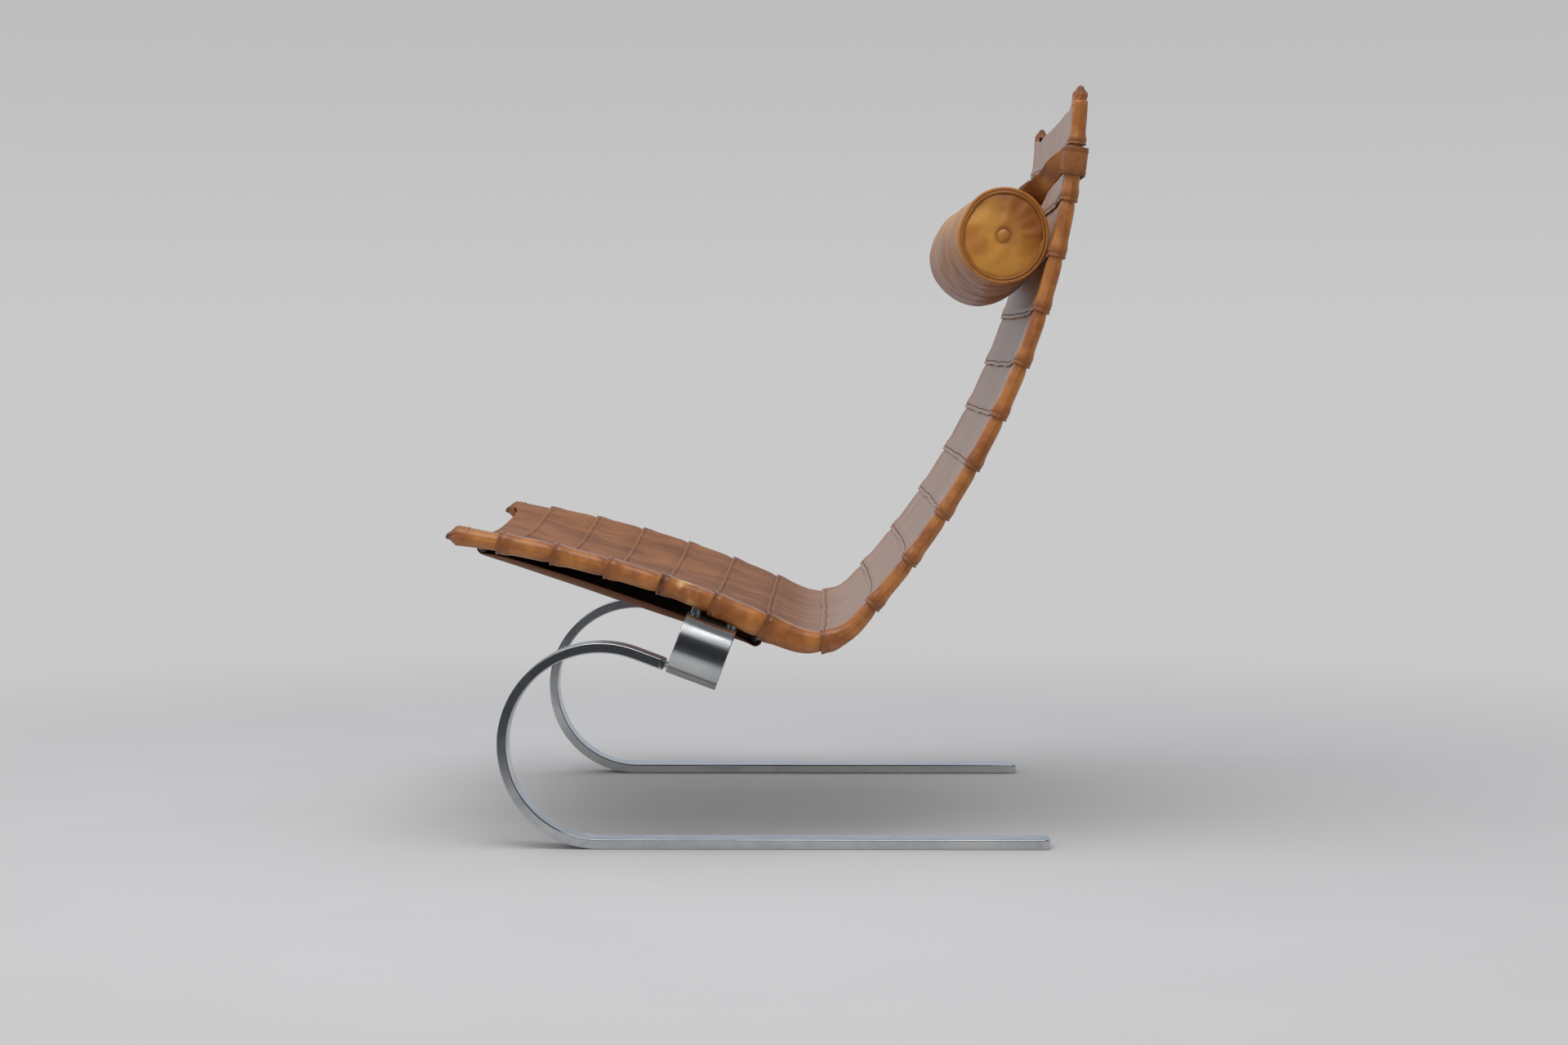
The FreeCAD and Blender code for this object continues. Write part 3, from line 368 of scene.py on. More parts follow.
# Sheets of leather: a grid laid over the part by a rule, then given its thickness
def laid_sheet(name, columns, rows, rule, closed=False):
    """A grid whose points go where rule(column, row) says, with the marks that it returns."""
    shell = bmesh.new()
    bmesh.ops.create_grid(shell, x_segments=columns, y_segments=rows, size=0.5)
    layers = {key: shell.verts.layers.float.new(key) for key in rule(0, 0)[2]}
    lay = shell.verts.layers.float_vector.new("lay")
    for vertex in shell.verts:
        column, row = round((vertex.co.x + 0.5) * columns), round((vertex.co.y + 0.5) * rows)
        spot, laid, marks = rule(column, row)
        vertex.co = spot * MM
        vertex[lay] = laid * MM
        for key, value in marks.items():
            vertex[layers[key]] = value
    if closed:
        bmesh.ops.remove_doubles(shell, verts=shell.verts, dist=2e-6)
        bmesh.ops.recalc_face_normals(shell, faces=shell.faces)
    return finished(name, shell)


def finished(name, shell):
    """A mesh object with smooth faces from a bmesh."""
    mesh = bpy.data.meshes.new(name)
    for face in shell.faces:
        face.smooth = True
    shell.to_mesh(mesh)
    shell.free()
    piece = bpy.data.objects.new(name, mesh)
    bpy.context.scene.collection.objects.link(piece)
    return piece


def dress(piece, materials, body, thickness=0.0, rounds=1):
    """Thickness, a subdivision, materials, and the body that the piece belongs to."""
    for material in materials:
        piece.data.materials.append(material)
    if thickness:
        wall = piece.modifiers.new("thickness", "SOLIDIFY")
        wall.thickness = thickness * MM
        wall.offset = -1.0
        if len(materials) > 1:
            wall.material_offset = 1
            wall.material_offset_rim = 0
    if rounds:
        soft = piece.modifiers.new("rounding", "SUBSURF")
        soft.levels = soft.render_levels = rounds
    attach(piece, body)
    return piece


def stitch_row(name, line, gap, body, slant=0.35, size=(1.5, 0.5, 0.5)):
    """Stitches sunk in a leather face: line holds places and outward directions, in millimetres."""
    shell, few = bmesh.new(), bmesh.new()
    carrier = bpy.data.meshes.new(name + "_batch")
    walked, due = 0.0, gap / 2
    for (start, out), (end, _) in zip(line, line[1:]):
        step = (end - start).length
        while due <= walked + step:
            heading = (end - start).normalized()
            side = out.cross(heading).normalized()
            heading = (heading + side * slant).normalized()
            side = out.cross(heading).normalized()
            spot = start.lerp(end, (due - walked) / step) * MM
            turn = Matrix((heading, side, out)).transposed().to_4x4()
            sizes = Matrix.Diagonal([length * MM for length in size] + [1.0])
            bmesh.ops.create_uvsphere(few, u_segments=6, v_segments=4, radius=1.0,
                                      matrix=Matrix.Translation(spot) @ turn @ sizes)
            if len(few.verts) > 500:
                few.to_mesh(carrier)
                shell.from_mesh(carrier)
                few.clear()
            due += gap
        walked += step
    few.to_mesh(carrier)
    shell.from_mesh(carrier)
    few.free()
    bpy.data.meshes.remove(carrier)
    piece = finished(name, shell)
    return dress(piece, [THREAD], body, rounds=0)


# Leather strips
def spread(first, last, count, ease=1.0):
    """Count values from first towards last, without the last one."""
    return [first + (last - first) * (number / count) ** ease for number in range(count)]


@functools.lru_cache(maxsize=None)
def half_section(along, lift, puff, lip):
    """Outer face from the fold under a rail to the middle of the width: (across, up, on the wrap)."""
    low = -wrap_depth(along) - RISE * lift - puff
    top = RISE * (lift - 1) + puff * 0.7
    wide = RAIL_OUTER + LEATHER + 0.4 + RISE * lift + puff * 0.8
    fold = RAIL_OUTER + LEATHER - 26
    corner = min(10.0, (top - low) / 2 - 0.6)
    belly = 0.5
    points = [(across, low, 1.0) for across in spread(fold, wide - corner, 4)]
    points += [(wide - corner + corner * math.cos(a), low + corner + corner * math.sin(a), 1.0)
               for a in spread(-math.pi / 2, 0.0, 6)]
    points += [(wide + belly * math.sin(math.pi * share), low + corner + (top - low - 2 * corner) * share, 1.0)
               for share in spread(0.0, 1.0, 3)]
    points += [(wide - corner + corner * math.cos(a), top - corner + corner * math.sin(a), 1.0)
               for a in spread(0.0, math.pi / 2, 6)]
    edge = wide - corner
    points += [(across, top + 0.5 * math.sin(math.pi * (edge - across) / (edge - RAIL_INNER)),
                1.0 - 0.75 * smooth((edge - across) / (edge - RAIL_INNER)))
               for across in spread(edge, RAIL_INNER, 4)]
    sag = leather_sag(along)
    for share in spread(0.0, 1.0, 26, 1.25):
        across = RAIL_INNER * (1 - share)
        points.append((across, top - sag * (1 - (1 - share) ** 2) - 1.2 * bump_at(share, 0.035, 0.04) + lip,
                       0.25 * max(0.0, 1 - share * 26 / 2)))
    return points


HALF_COLUMNS = 4 + 6 + 3 + 6 + 4 + 26  # the points of half_section, stretch by stretch
ROWS = [0, 0.9, 2.0, 3.4, 4.9, 6.2, 7.8, 9.6, 12, 15, 18.5, 22.5, 27, 32, 38, 44.5, 51.5, 58.5, 65, 71.5,
        STRIP_LENGTH]


def hem_profile(distance, seat):
    """Lift, swelling of the wraps and lip on the face at a distance behind a hem."""
    lift = 0.10 + 0.52 * (1 - smooth((distance - 59) / 8)) + 0.36 * (1 - smooth((distance - 8) / 14))
    bulb = (0.30 + 0.45 * (1 - seat)) * bump_at(distance, 12.0, 6.0)
    bead = 0.8 * bump_at(distance, 1.2, 2.0) - 0.6 * bump_at(distance, 5.2, 1.3)
    return lift, bulb + 0.8 * bead, (0.45 + 0.85 * seat) * bead


def strip_point(number, start, end, half, side, distance):
    """A point of a strip's outer face, half of it counted from the fold to the middle."""
    seat = 1 - smooth((start - 300) / 200)
    scale = (end - start) / STRIP_LENGTH
    lift, puff, lip = hem_profile(distance, seat)
    if number == 0:
        lift, puff, lip = 0.60 - distance * 0.0077, 0.0, 0.0
    elif number == len(HEMS) - 1:
        lift = max(lift, 0.62)
    along = start + distance * scale
    across, up, wrap = half_section(along, lift, puff, lip)[half] if half < HALF_COLUMNS else \
        (0.0, RISE * (lift - 1) + puff * 0.7 - leather_sag(along) + lip, 0.0)
    inner = smooth((RAIL_INNER - across) / 70)
    fade = 1 - smooth(distance / 60)
    if number == 0:
        along += 11 * inner * fade
    elif number == len(HEMS) - 1:
        along -= (9 + 4 * bump_at(across, 270, 50)) * inner * smooth(distance / 50)
        along -= 7 * (1 - inner) * smooth(distance / 50)
    sway = ripple(side * across * 0.011, number * 3.1) * 1.9 * inner * (1 - seat * 0.5)
    sway += ripple(side * across * 0.045, number * 5.7 + 0.4) * 0.7
    along += sway * (1 - smooth(distance / 30)) * (number > 0)
    up += ripple(side * across * 0.05, along * 0.035, number * 1.7) * (0.25 + 0.35 * inner)
    across_shift = ripple(along * 0.05, number * 2.3, side * 4.0 + up * 0.05) * 0.5 * wrap
    spot = beside(along, side * (across + across_shift), up)
    return spot, wrap, along


def strip_wear(number, side, along, wrap):
    """Local stains (positive) and rubbed pale patches (negative) on the wraps."""
    if wrap < 0.5:
        return 0.0
    stains = ((0, 1, 0, 22, 0.3), (2, 1, 100, 14, 0.5), (4, 1, 238, 16, 0.8), (4, 1, 262, 18, -1.0),
              (5, 1, 292, 10, 0.9), (6, 1, 372, 12, 0.6), (7, 1, 420, 12, 0.5), (9, 1, 548, 16, 1.0),
              (11, 1, 690, 16, 0.8), (13, 1, 800, 12, 0.5), (14, 1, 880, 18, -0.4), (12, 1, 742, 18, 0.6),
              (0, -1, 5, 22, 1.0), (5, -1, 300, 16, -0.8), (10, -1, 620, 16, 0.8), (14, -1, 860, 14, 0.6))
    return sum(weight * bump_at(along, place, reach) for which, where, place, reach, weight in stains
               if which == number and where == side)


def leather_strip(number):
    start = HEMS[number]
    last = number == len(HEMS) - 1
    end = BACK_END if last else HEMS[number + 1] + 12
    columns = 2 * HALF_COLUMNS
    across_walk = [0.0]
    middle = HALF_COLUMNS
    section = half_section(start + 30, 0.5, 0, 0) + [(0.0, -leather_sag(start + 30), 0.0)]
    for first, second in zip(section, section[1:]):
        across_walk.append(across_walk[-1] + math.hypot(second[0] - first[0], second[1] - first[1]))
    full = across_walk[-1]

    def rule(column, row):
        side = -1 if column <= middle else 1
        half = column if column <= middle else columns - column
        distance = ROWS[row]
        spot, wrap, along = strip_point(number, start, end, half, side, distance)
        walked = side * (full - across_walk[half])
        back = smooth((along - 380) / 90)
        marks = {"wrap": wrap, "hem": distance * (end - start) / STRIP_LENGTH if number else 30.0,
                 "wear": strip_wear(number, side, along, wrap), "back": back}
        return spot, Vector((walked, along, number * 37.0)), marks

    name = "leather_strip_%02d" % (number + 1)
    piece = laid_sheet(name, columns, len(ROWS) - 1, rule)
    dress(piece, [STRIP, FLESH], "frame", LEATHER)
    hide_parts("strip_%02d" % (number + 1))
    (end - start) * MM
    if number:
        line = []
        for column in range(columns + 1):
            side = -1 if column <= middle else 1
            half = column if column <= middle else columns - column
            here = strip_point(number, start, end, half, side, 5.6)[0]
            ahead = strip_point(number, start, end, half, side, 6.6)[0]
            line.append((here, ahead - here))
        places = [spot for spot, _ in line]
        sewn = []
        for index, (spot, along) in enumerate(line):
            across = places[min(index + 1, columns)] - places[max(index - 1, 0)]
            out = across.cross(along).normalized()
            sewn.append((spot + out * 0.15, out))
        stitch_row("strip_stitches_%02d" % (number + 1), sewn, 4.4, "frame")
    return piece


for number in range(len(HEMS)):
    leather_strip(number)


# Puckered leather knobs at the four ends of the wrapped rails
def rail_ear(name, side, base, way, reach, rail_share, tight, droop, node):
    """A gathered cap: it covers the rail's end, rail_share of its reach away, and shrinks in folds to a knob."""
    columns, rows = 72, 34

    def rule(column, row):
        angle = 2 * math.pi * column / columns
        share = row / rows
        ahead = reach * share
        depth = wrap_depth(base)
        past = smooth((share - rail_share) / (0.88 - rail_share))
        near = smooth(share / rail_share)
        tip = math.sqrt(max(0.0, 1 - max(0.0, (share - 0.84) / 0.16) ** 2))
        half_high = ((depth / 2 - 0.8) * (1 - near) + tight * near) * (1 - past) + 4.2 * past * tip
        half_wide = (13.4 * (1 - near) + 13.0 * near) * (1 - past) + 5.0 * past * tip
        flat = 1 / max(abs(math.cos(angle)) ** 3 + abs(math.sin(angle)) ** 3, 0.2) ** (1 / 3)
        flat = 1 + (flat - 1) * (1 - smooth(share / 0.8))
        pleat = 0.5 * math.cos(11 * angle + 2.2 * ripple(share * 4, side)) + 0.5 * math.cos(7 * angle + side)
        pucker = 1 + 0.09 * pleat * bump_at(share, 0.60, 0.28)
        pucker += 0.06 * ripple(angle_x(angle) * 2, share * 7, angle_y(angle) * 2)
        middle = RAIL_OUTER + LEATHER + 0.4 - 13.2
        level = -depth / 2 * (1 - near) - 10.3 * near - droop * share ** 2
        spot = beside(base + way * ahead, side * middle + way * half_wide * flat * pucker * math.cos(angle),
                      level + half_high * flat * pucker * math.sin(angle))
        deep = 0.10 + 0.85 * smooth((share - 0.50) / 0.3) * (0.75 - 0.35 * pleat)
        return spot, Vector((angle * 12, ahead, side * 50.0)), {"shade": deep}

    piece = laid_sheet(name, columns, rows, rule, closed=True)
    dress(piece, [CAP], "frame")
    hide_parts(node)


for side, word in ((-1, "left"), (1, "right")):
    rail_ear(word + "_front_ear", side, -2.0, -1, 27.0, 0.53, 10.2, 5.5, word + "_front_cap")
    rail_ear(word + "_top_ear", side, BACK_END - 14, 1, 24.5, 0.60, 8.6, 0.0, word + "_top_cap")


# Sling under the seat
ROD_LEVEL = 12.7265
BOW_RADIUS, BOW_CHORD = 2881.2, 301.2
SLING_HALF = 300.0


def rod_place(at, drop, across=None):
    """Centre of a crossbar, lower towards the middle where it is bowed."""
    bow = 0.0
    if across is not None:
        bow = math.sqrt(BOW_RADIUS ** 2 - across ** 2) - math.sqrt(BOW_RADIUS ** 2 - BOW_CHORD ** 2)
    return beside(at, 0.0, -(ROD_LEVEL + drop) - bow)


def seat_sling():
    """A panel with a loop round each crossbar and its two long edges rolled up."""
    columns, loop, flat = 64, 12, 26
    rows = 2 * loop + flat

    def rule(column, row):
        across = (1 - column / columns * 2) * SLING_HALF
        front, rear = rod_place(14, 11, across), rod_place(364, 26)
        along = (rear - front).normalized()
        down = Vector((0, along.z, -along.y))
        radius = 8.9
        rolled = smooth((abs(across) - SLING_HALF + 16) / 16)
        if row < loop:
            angle = math.pi * row / loop
            spot = front + (-down * math.cos(angle) - along * math.sin(angle)) * radius
        elif row <= loop + flat:
            share = (row - loop) / flat
            spot = front.lerp(rear, share) + down * radius
            spot -= down * (8.5 * rolled * math.sin(math.pi * share) ** 0.4)
            spot += down * (1.0 * ripple(across * 0.012, share * 5.0))
        else:
            angle = math.pi * (row - loop - flat) / loop
            spot = rear + (down * math.cos(angle) + along * math.sin(angle)) * radius
        spot.x = across + 0.8 * ripple(row * 0.4, across * 0.02)
        return spot, Vector((across, spot.y, 5.0)), {"shade": 0.35 + 0.3 * rolled}

    piece = laid_sheet("underseat_sling", columns, rows, rule)
    dress(piece, [SLING, FLESH], "frame", LEATHER)
    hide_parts("seat_sling")


seat_sling()

# Headrest belt: a band round both rails and the back
BELT_LOW, BELT_HIGH = 1055.0, 1088.0


def belt_path():
    """Half of the belt's outer face, from its front end at the rail round to the middle of the rear."""
    wide = RAIL_OUTER + 2 * LEATHER + RISE + 1.6
    front, rear = 4.2, -(WRAP_BACK + RISE + LEATHER + 1.4)
    corner = 9.0
    points = [(across, front) for across in spread(RAIL_INNER - 1, wide - corner, 4)]
    points += [(wide - corner + corner * math.sin(a), front - corner + corner * math.cos(a))
               for a in spread(0.0, math.pi / 2, 6)]
    points += [(wide, level) for level in spread(front - corner, rear + corner, 4)]
    points += [(wide - corner + corner * math.cos(a), rear + corner - corner * math.sin(a))
               for a in spread(0.0, math.pi / 2, 6)]
    points += [(across, rear) for across in spread(wide - corner, 0.0, 20)] + [(0.0, rear)]
    return points


def headrest_belt():
    path = belt_path()
    last = len(path) - 1
    columns, rows = 2 * last, 12

    def rule(column, row):
        side = 1 if column <= last else -1
        across, up = path[column if column <= last else columns - column]
        share = row / rows
        along = BELT_LOW + (BELT_HIGH - BELT_LOW) * share + 0.6 * ripple(column * 0.5, share * 2)
        ridge = 0.5 * (bump_at(share, 0.04, 0.05) + bump_at(share, 0.96, 0.05))
        ridge -= 0.45 * (bump_at(share, 0.14, 0.04) + bump_at(share, 0.86, 0.04))
        out = 1 + (ridge + 0.5 * ripple(column * 0.35, share * 3)) / 350
        level = up + (ridge if up > 0 else -ridge)
        spot = beside(along, side * across * out, level)
        return spot, Vector((across * side, along, 3.0)), {"shade": 0.25 + 0.5 * abs(share * 2 - 1) ** 4}

    piece = laid_sheet("headrest_band", columns, rows, rule)
    dress(piece, [BELT, FLESH], "headrest", LEATHER)
    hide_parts("headrest_belt")
    for word, along in (("lower", BELT_LOW + 4.6), ("upper", BELT_HIGH - 4.6)):
        line = []
        for side in (1, -1):
            half = [(beside(along, side * across, up), side, across, up) for across, up in path]
            line += half if side > 0 else half[::-1][1:]
        places = [one[0] for one in line]
        heading = beside(along + 1, 0, 0) - beside(along, 0, 0)
        sewn = []
        for index, spot in enumerate(places):
            run = places[min(index + 1, len(places) - 1)] - places[max(index - 1, 0)]
            out = heading.cross(run).normalized()
            inside = beside(along, 0.97 * spot.x, -WRAP_BACK / 2)
            if out.dot(spot - inside) < 0:
                out = -out
            sewn.append((spot + out * 0.2, out))
        stitch_row("belt_stitches_" + word, sewn, 4.6, "headrest", 0.2)


headrest_belt()


# Bolster
def roll_centre(across):
    fall = 21.5 * (1 - (across / BOLSTER_HALF) ** 2) * math.sqrt(0.5)
    return Vector((across, 281.4 - fall, 723.5 - fall))


def roll_reach(across, angle):
    """Radius of the roll's face; angle 0 points to the back of the chair and a right angle up."""
    middle = 1 - (across / BOLSTER_HALF) ** 2
    round_end = math.hypot(53.6 * math.cos(angle), 56.6 * math.sin(angle))
    turned = math.degrees(angle) % 360
    flat = -2.4 * bump_at(turned, 148, 26) + 0.8 * bump_at(turned, 52, 26)
    return round_end + flat * (1 - middle * 0.6) + middle * (8 - 3 * math.sin(angle) ** 2)


def bolster_roll():
    """The sewn roll, gathered in soft folds between its two piped ends."""
    columns, rows, ends = 120, 96, 5

    def rule(column, row):
        angle = 2 * math.pi * column / columns
        turned = Vector((0, math.cos(angle), math.sin(angle)))
        inner = row - ends
        if 0 <= inner <= rows - 2 * ends:
            across = BOLSTER_HALF * (inner / (rows - 2 * ends) * 2 - 1)
            share = 1.0
        else:
            side = -1 if inner < 0 else 1
            across = side * (BOLSTER_HALF - 1.0)
            share = (row if side < 0 else rows - row) / ends
        reach = roll_reach(across, angle)
        close = BOLSTER_HALF - abs(across)
        reach -= 2.2 * bump_at(close, 0, 4)
        fold = ripple(across * 0.055, angle_x(angle) * 0.9, angle_y(angle) * 0.9)
        fine = ripple(across * 0.17 + 7, angle_x(angle) * 1.7, angle_y(angle) * 1.7)
        reach += (2.4 * fold + 1.9 * fine) * smooth(close / 12)
        reach += 0.9 * ripple(across * 0.11 + 3, angle_x(angle) * 0.5, angle_y(angle) * 0.5) * bump_at(close, 30, 40)
        spot = roll_centre(across) + turned * (reach * share)
        shade = smooth((-math.sin(angle) - 0.1) / 0.9) * 0.8
        rub = smooth((math.cos(angle + 2.6) - 0.1) / 0.8) * smooth((close - 6) / 30)
        return spot, Vector((across, angle * 53, 9.0)), {"shade": shade, "rub": rub}

    piece = laid_sheet("bolster_roll", columns, rows, rule, closed=True)
    dress(piece, [ROLL], "bolster")
    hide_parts("bolster_cover", "bolster_core")


def end_point(side, angle, share, ahead):
    """A point on a bolster end: share 1 is its rim."""
    turned = Vector((0, math.cos(angle), math.sin(angle)))
    reach = roll_reach(BOLSTER_HALF, angle)
    return Vector((side * (BOLSTER_HALF + ahead), 281.4, 723.5)) + turned * (reach * share)


def bolster_end(side, word):
    """The crowned end panel with its button dimple and the creases that run to the piping."""
    columns, rows = 96, 26

    def rule(column, row):
        angle = 2 * math.pi * column / columns
        share = 1 - (row / rows)
        turned = math.degrees(angle) % 360
        crown = 4.6 * (1 - share ** 2.6) - 3.4 * bump_at(share, 0, 0.20)
        folds = 0.0
        for middle, width, deep in ((48, 9, 1.5), (30, 7, 1.1), (2, 8, 1.4), (345, 6, 0.8), (76, 7, 0.9),
                                    (300, 9, 0.5), (130, 10, 0.5), (200, 12, 0.5)):
            off = (turned - middle + 180) % 360 - 180
            folds += deep * (bump_at(off, 0, width) - 0.8 * bump_at(off, width * 1.7, width))
        crown += 0.8 * folds * smooth((share - 0.35) / 0.4) * (1 - smooth((share - 0.80) / 0.2) * 0.5)
        crown += 3.4 * ripple(share * math.cos(angle) * 2.1 + 9, share * math.sin(angle) * 2.1, side * 3.0)
        crown += 1.2 * ripple(share * math.cos(angle) * 5 + 2, share * math.sin(angle) * 5, side * 5.0) * (1 - share)
        crown -= 0.8 * bump_at(share, 1.0, 0.06)
        spot = end_point(side, angle, share * 0.915, 0.4 + crown)
        lower = smooth((math.cos(angle - 0.7) * share + 0.30) / 1.1)
        dent = 0.6 * bump_at(share, 0.17, 0.05) + 0.6 * smooth((share - 0.97) / 0.03)
        return spot, Vector((angle * 50, share * 50, side * 9.0)), {"shade": 0.75 * lower + dent, "rub": 0.0}

    panel = laid_sheet(word + "_bolster_panel", columns, rows, rule, closed=True)
    dress(panel, [ROLL], "bolster", 1.2)
    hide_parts(word + "_bolster_cap")
    for ring, reach, size, ahead in (("outer", 0.978, 2.3, 0.6), ("inner", 0.912, 1.8, 1.6)):
        def cord(column, row):
            angle = 2 * math.pi * column / 120
            turn = 2 * math.pi * row / 12
            spot = end_point(side, angle, reach, ahead)
            out = Vector((0, math.cos(angle), math.sin(angle)))
            spot += out * (size * math.cos(turn)) + Vector((side * size * math.sin(turn), 0, 0))
            return spot, Vector((angle * 50, row, 1.0)), {"shade": 0.25 + 0.3 * (ring == "inner")}

        piece = laid_sheet(word + "_piping_" + ring, 120, 12, cord, closed=True)
        dress(piece, [PIPING], "bolster")
        if ring == "outer":
            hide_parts(word + "_bolster_piping")

    def dome(column, row):
        angle = 2 * math.pi * column / 32
        share = row / 12
        radius = 8.0 * math.sin(math.pi * 0.5 * min(1.0, (1 - share) * 1.25)) ** 0.8 if share > 0.2 else 8.0
        level = 3.6 * (1 - (radius / 8.6) ** 2.4) if share > 0.2 else -3 + share * 15 * 0.6
        spot = Vector((side * (BOLSTER_HALF + 2.4 + level), 281.4, 723.5))
        spot += Vector((0, math.cos(angle), math.sin(angle))) * radius
        return spot, Vector((angle * 8, radius, 2.0)), {"shade": 0.3, "rub": 0.0}

    button = laid_sheet(word + "_covered_button", 32, 12, dome, closed=True)
    dress(button, [ROLL], "bolster")
    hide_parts(word + "_bolster_button")


bolster_roll()
for side, word in ((-1, "left"), (1, "right")):
    bolster_end(side, word)


# Hangers: the strap ends that turn from the belt down to the top of the roll
def hanger(side, word):
    columns, rows = 30, 10
    (ty, tz), _, (ny, nz) = side_line(BELT_HIGH)
    (by, bz), _, _ = side_line(BELT_LOW)
    lift = 5.0
    upper = [(325, ty + ny * lift, tz + nz * lift), (312, 347, 821), (300, 340, 814), (286, 328, 804),
             (272, 317, 792), (256, 307, 783), (236, 302, 772)]
    lower = [(325, by + ny * lift, bz + nz * lift), (312, 352, 794), (300, 345, 785), (286, 338, 775),
             (272, 332, 768), (256, 327, 758), (236, 321, 748)]

    def along_line(points, share):
        walk = share * (len(points) - 1)
        index = min(int(walk), len(points) - 2)
        rest = walk - index
        before, after = points[max(index - 1, 0)], points[min(index + 2, len(points) - 1)]
        here, there = points[index], points[index + 1]
        return Vector([0.5 * ((2 * h) + (t - b) * rest + (2 * b - 5 * h + 4 * t - a) * rest ** 2
                              + (3 * h - b - 3 * t + a) * rest ** 3)
                       for b, h, t, a in zip(before, here, there, after)])

    def rule(column, row):
        share, wide = column / columns, row / rows
        high, low = along_line(upper, share), along_line(lower, share)
        wide = wide if side < 0 else 1 - wide
        spot = low.lerp(high, wide) + Vector((0, ny, nz)) * (4.5 * bump_at(share, 0.32, 0.20))
        off = Vector((0, -0.75, 0.66))
        ridge = 0.5 * (bump_at(wide, 0.03, 0.05) + bump_at(wide, 0.97, 0.05))
        ridge -= 0.45 * (bump_at(wide, 0.14, 0.05) + bump_at(wide, 0.86, 0.05))
        crease = 2.2 * bump_at(share, 0.55, 0.10) * math.sin(wide * 5 + 1.0)
        crease -= 1.6 * bump_at(share - 0.25 * wide, 0.30, 0.07)
        spot += off * (ridge + crease + 1.4 * math.sin(math.pi * wide) * math.sin(math.pi * share))
        spot.x *= side
        deep = 0.3 + 0.5 * bump_at(share, 0.8, 0.22) + 0.4 * bump_at(share - 0.25 * wide, 0.30, 0.06)
        return spot, Vector((share * 110, wide * 33, 4.0)), {"shade": deep}

    piece = laid_sheet(word + "_hanger_strap", columns, rows, rule)
    dress(piece, [BELT, FLESH], "bolster", LEATHER)
    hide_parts(word + "_hanger")


for side, word in ((-1, "left"), (1, "right")):
    hanger(side, word)


# Studio: a plain pale floor, one large soft lamp above, a plain surround and the camera
def studio_floor():
    shell = bmesh.new()
    bmesh.ops.create_grid(shell, x_segments=8, y_segments=8, size=30.0)
    floor = finished("studio_floor", shell)
    f = Finish("studio_paper", specular_ior_level=0.1)
    spot = f.place()
    away = f.node("VectorMath", {"operation": "LENGTH"}, {0: spot}, "Value")
    paper = f.mix(f.cloud(spot, 3.0, 3.0, 0.5).between(0.3, 0.7), tone(200, 200, 200), tone(198, 198, 198))
    f.surface(base_color=paper, roughness=f.cloud(spot, 40.0) * 0.1 + 0.75)
    glow = f.node("Emission", {}, {"Color": tone(201, 201, 201), "Strength": 1.0})
    seen = f.node("LightPath", {}, {}, "Is Camera Ray")
    share = away.between(0.8, 2.4) * seen
    both = f.node("MixShader", {}, {0: share, 1: Wire(f, f.shader.outputs[0]), 2: glow})
    # Painted dark reflection: for glossy rays the floor on the camera side glows dark grey instead of showing its
    # lit paper.
    dark = f.node("Emission", {}, {"Color": tone(66, 68, 72), "Strength": 1.0})
    edge = f.node("SeparateXYZ", {}, {0: spot}, "X").between(0.6, 1.3)
    gloss = f.node("LightPath", {}, {}, "Is Glossy Ray")
    both = f.node("MixShader", {}, {0: edge * gloss, 1: both, 2: dark})
    f.tree.links.new(both.socket, f.tree.nodes["Material Output"].inputs["Surface"])
    floor.data.materials.append(f.material)


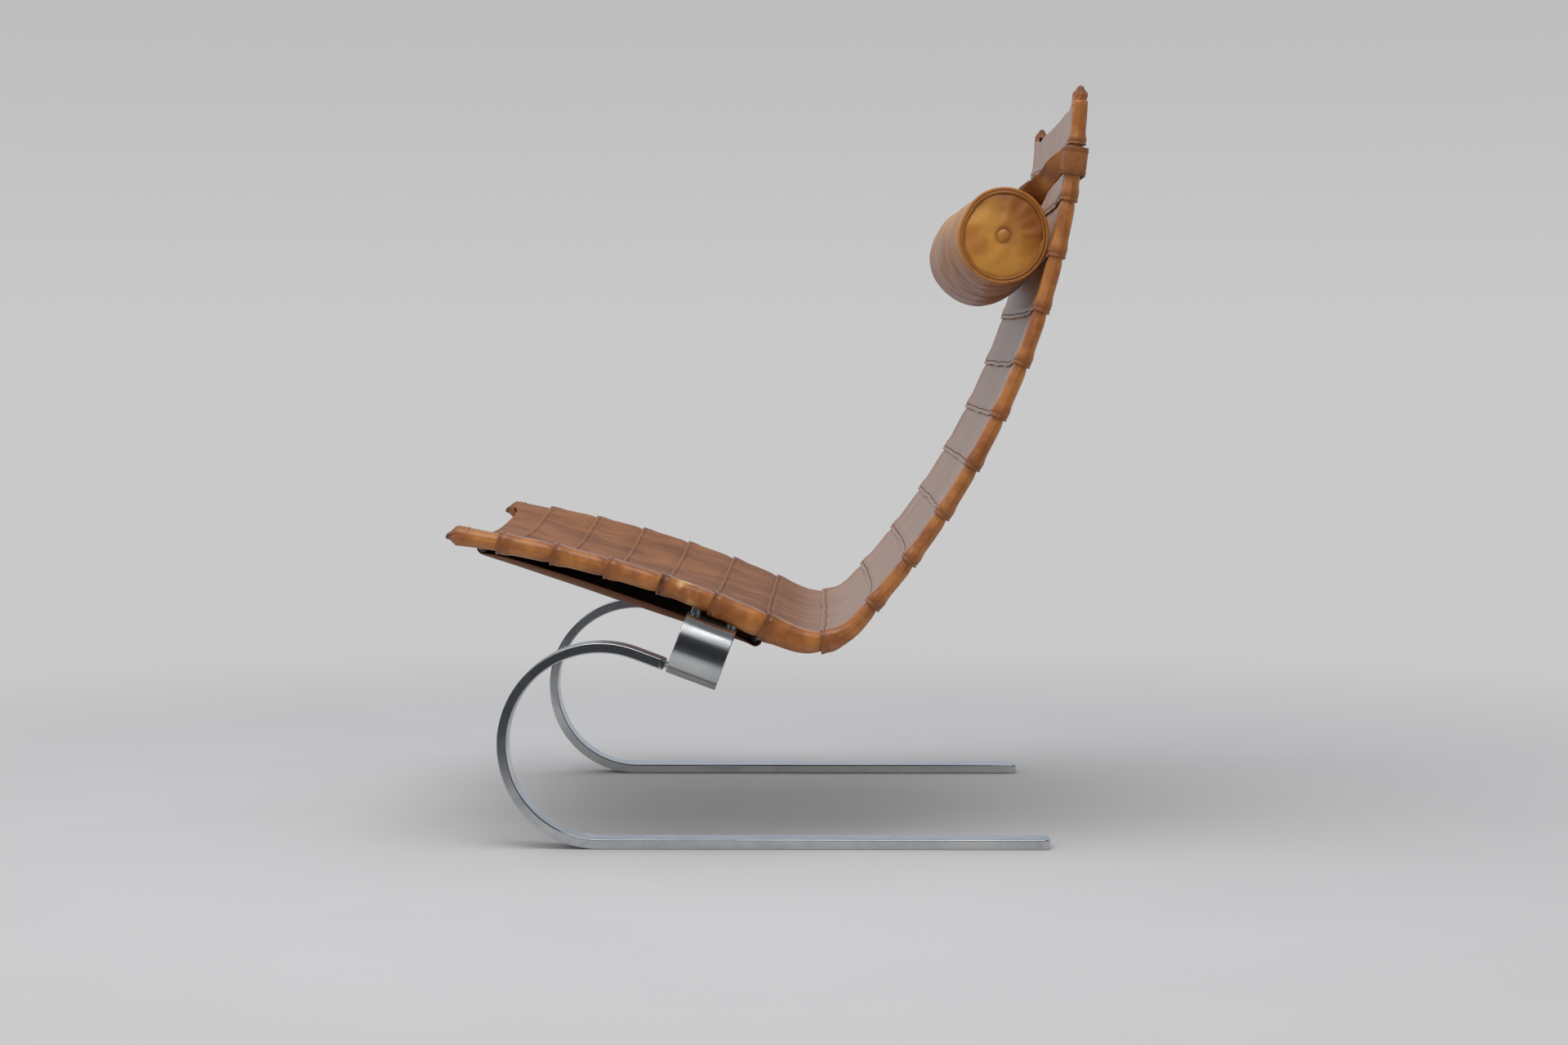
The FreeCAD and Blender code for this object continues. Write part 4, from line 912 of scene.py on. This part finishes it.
def studio_surround():
    """Even light for the surfaces; the camera and the gloss see a grey backdrop with a bright ceiling."""
    world = bpy.data.worlds.new("studio_surround")
    bpy.context.scene.world = world
    world.use_nodes = True
    f = Finish.__new__(Finish)
    f.tree = world.node_tree
    f.tree.nodes.clear()
    heading = f.node("TexCoord", {}, {}, "Generated")
    axes = f.node("SeparateXYZ", {}, {0: heading}, "Z")
    width = f.node("SeparateXYZ", {}, {0: heading}, "X")
    backdrop = f.mix(axes.between(0.0, 0.12), tone(201, 201, 201), tone(190, 190, 190))
    room = f.mix(width.between(0.0, 0.4), tone(176, 184, 194), tone(44, 46, 50))
    room = f.mix(axes.between(0.60, 0.80), room, tone(118, 120, 124))
    ray = f.node("LightPath", {}, {}, "Is Camera Ray")
    gloss = f.node("LightPath", {}, {}, "Is Glossy Ray")
    colour = f.mix(gloss, tone(218, 219, 222), room)
    colour = f.mix(ray, colour, backdrop)
    shine = f.node("Background", {}, {"Color": colour, "Strength": 1.0})
    out = f.tree.nodes.new("ShaderNodeOutputWorld")
    f.tree.links.new(shine.socket, out.inputs["Surface"])


def lamp(name, spot, aim, size, power):
    light = bpy.data.lights.new(name, "AREA")
    light.shape, light.size, light.size_y = "RECTANGLE", size[0], size[1]
    light.energy = power
    piece = bpy.data.objects.new(name, light)
    bpy.context.scene.collection.objects.link(piece)
    piece.location = spot
    piece.rotation_mode = "QUATERNION"
    piece.rotation_quaternion = (Vector(aim) - Vector(spot)).to_track_quat("-Z", "Y")


def photo_camera():
    """The photograph's viewpoint: 4 m to the side, a little above the seat, looking slightly down."""
    lens = bpy.data.cameras.new("photo_camera")
    lens.lens, lens.sensor_width, lens.sensor_fit = 71.26, 36.0, "HORIZONTAL"
    piece = bpy.data.objects.new("photo_camera", lens)
    bpy.context.scene.collection.objects.link(piece)
    yaw, pitch, roll = -0.015884, 0.049910, -0.00114
    ahead = Vector((-math.cos(yaw) * math.cos(pitch), math.sin(yaw) * math.cos(pitch), -math.sin(pitch)))
    piece.location = (3.99111, 0.07887, 0.56682)
    piece.rotation_mode = "QUATERNION"
    turn = ahead.to_track_quat("-Z", "Y")
    piece.rotation_quaternion = turn @ Matrix.Rotation(roll, 4, "Z").to_quaternion()
    bpy.context.scene.camera = piece


studio_floor()
studio_surround()
lamp("ceiling_lamp", (0.9, -0.3, 2.7), (0.0, 0.05, 0.3), (2.4, 2.0), 34)
lamp("side_lamp", (3.0, -1.6, 1.9), (0.0, 0.0, 0.4), (1.2, 1.2), 5)
photo_camera()
bpy.context.scene.view_settings.view_transform = "Standard"
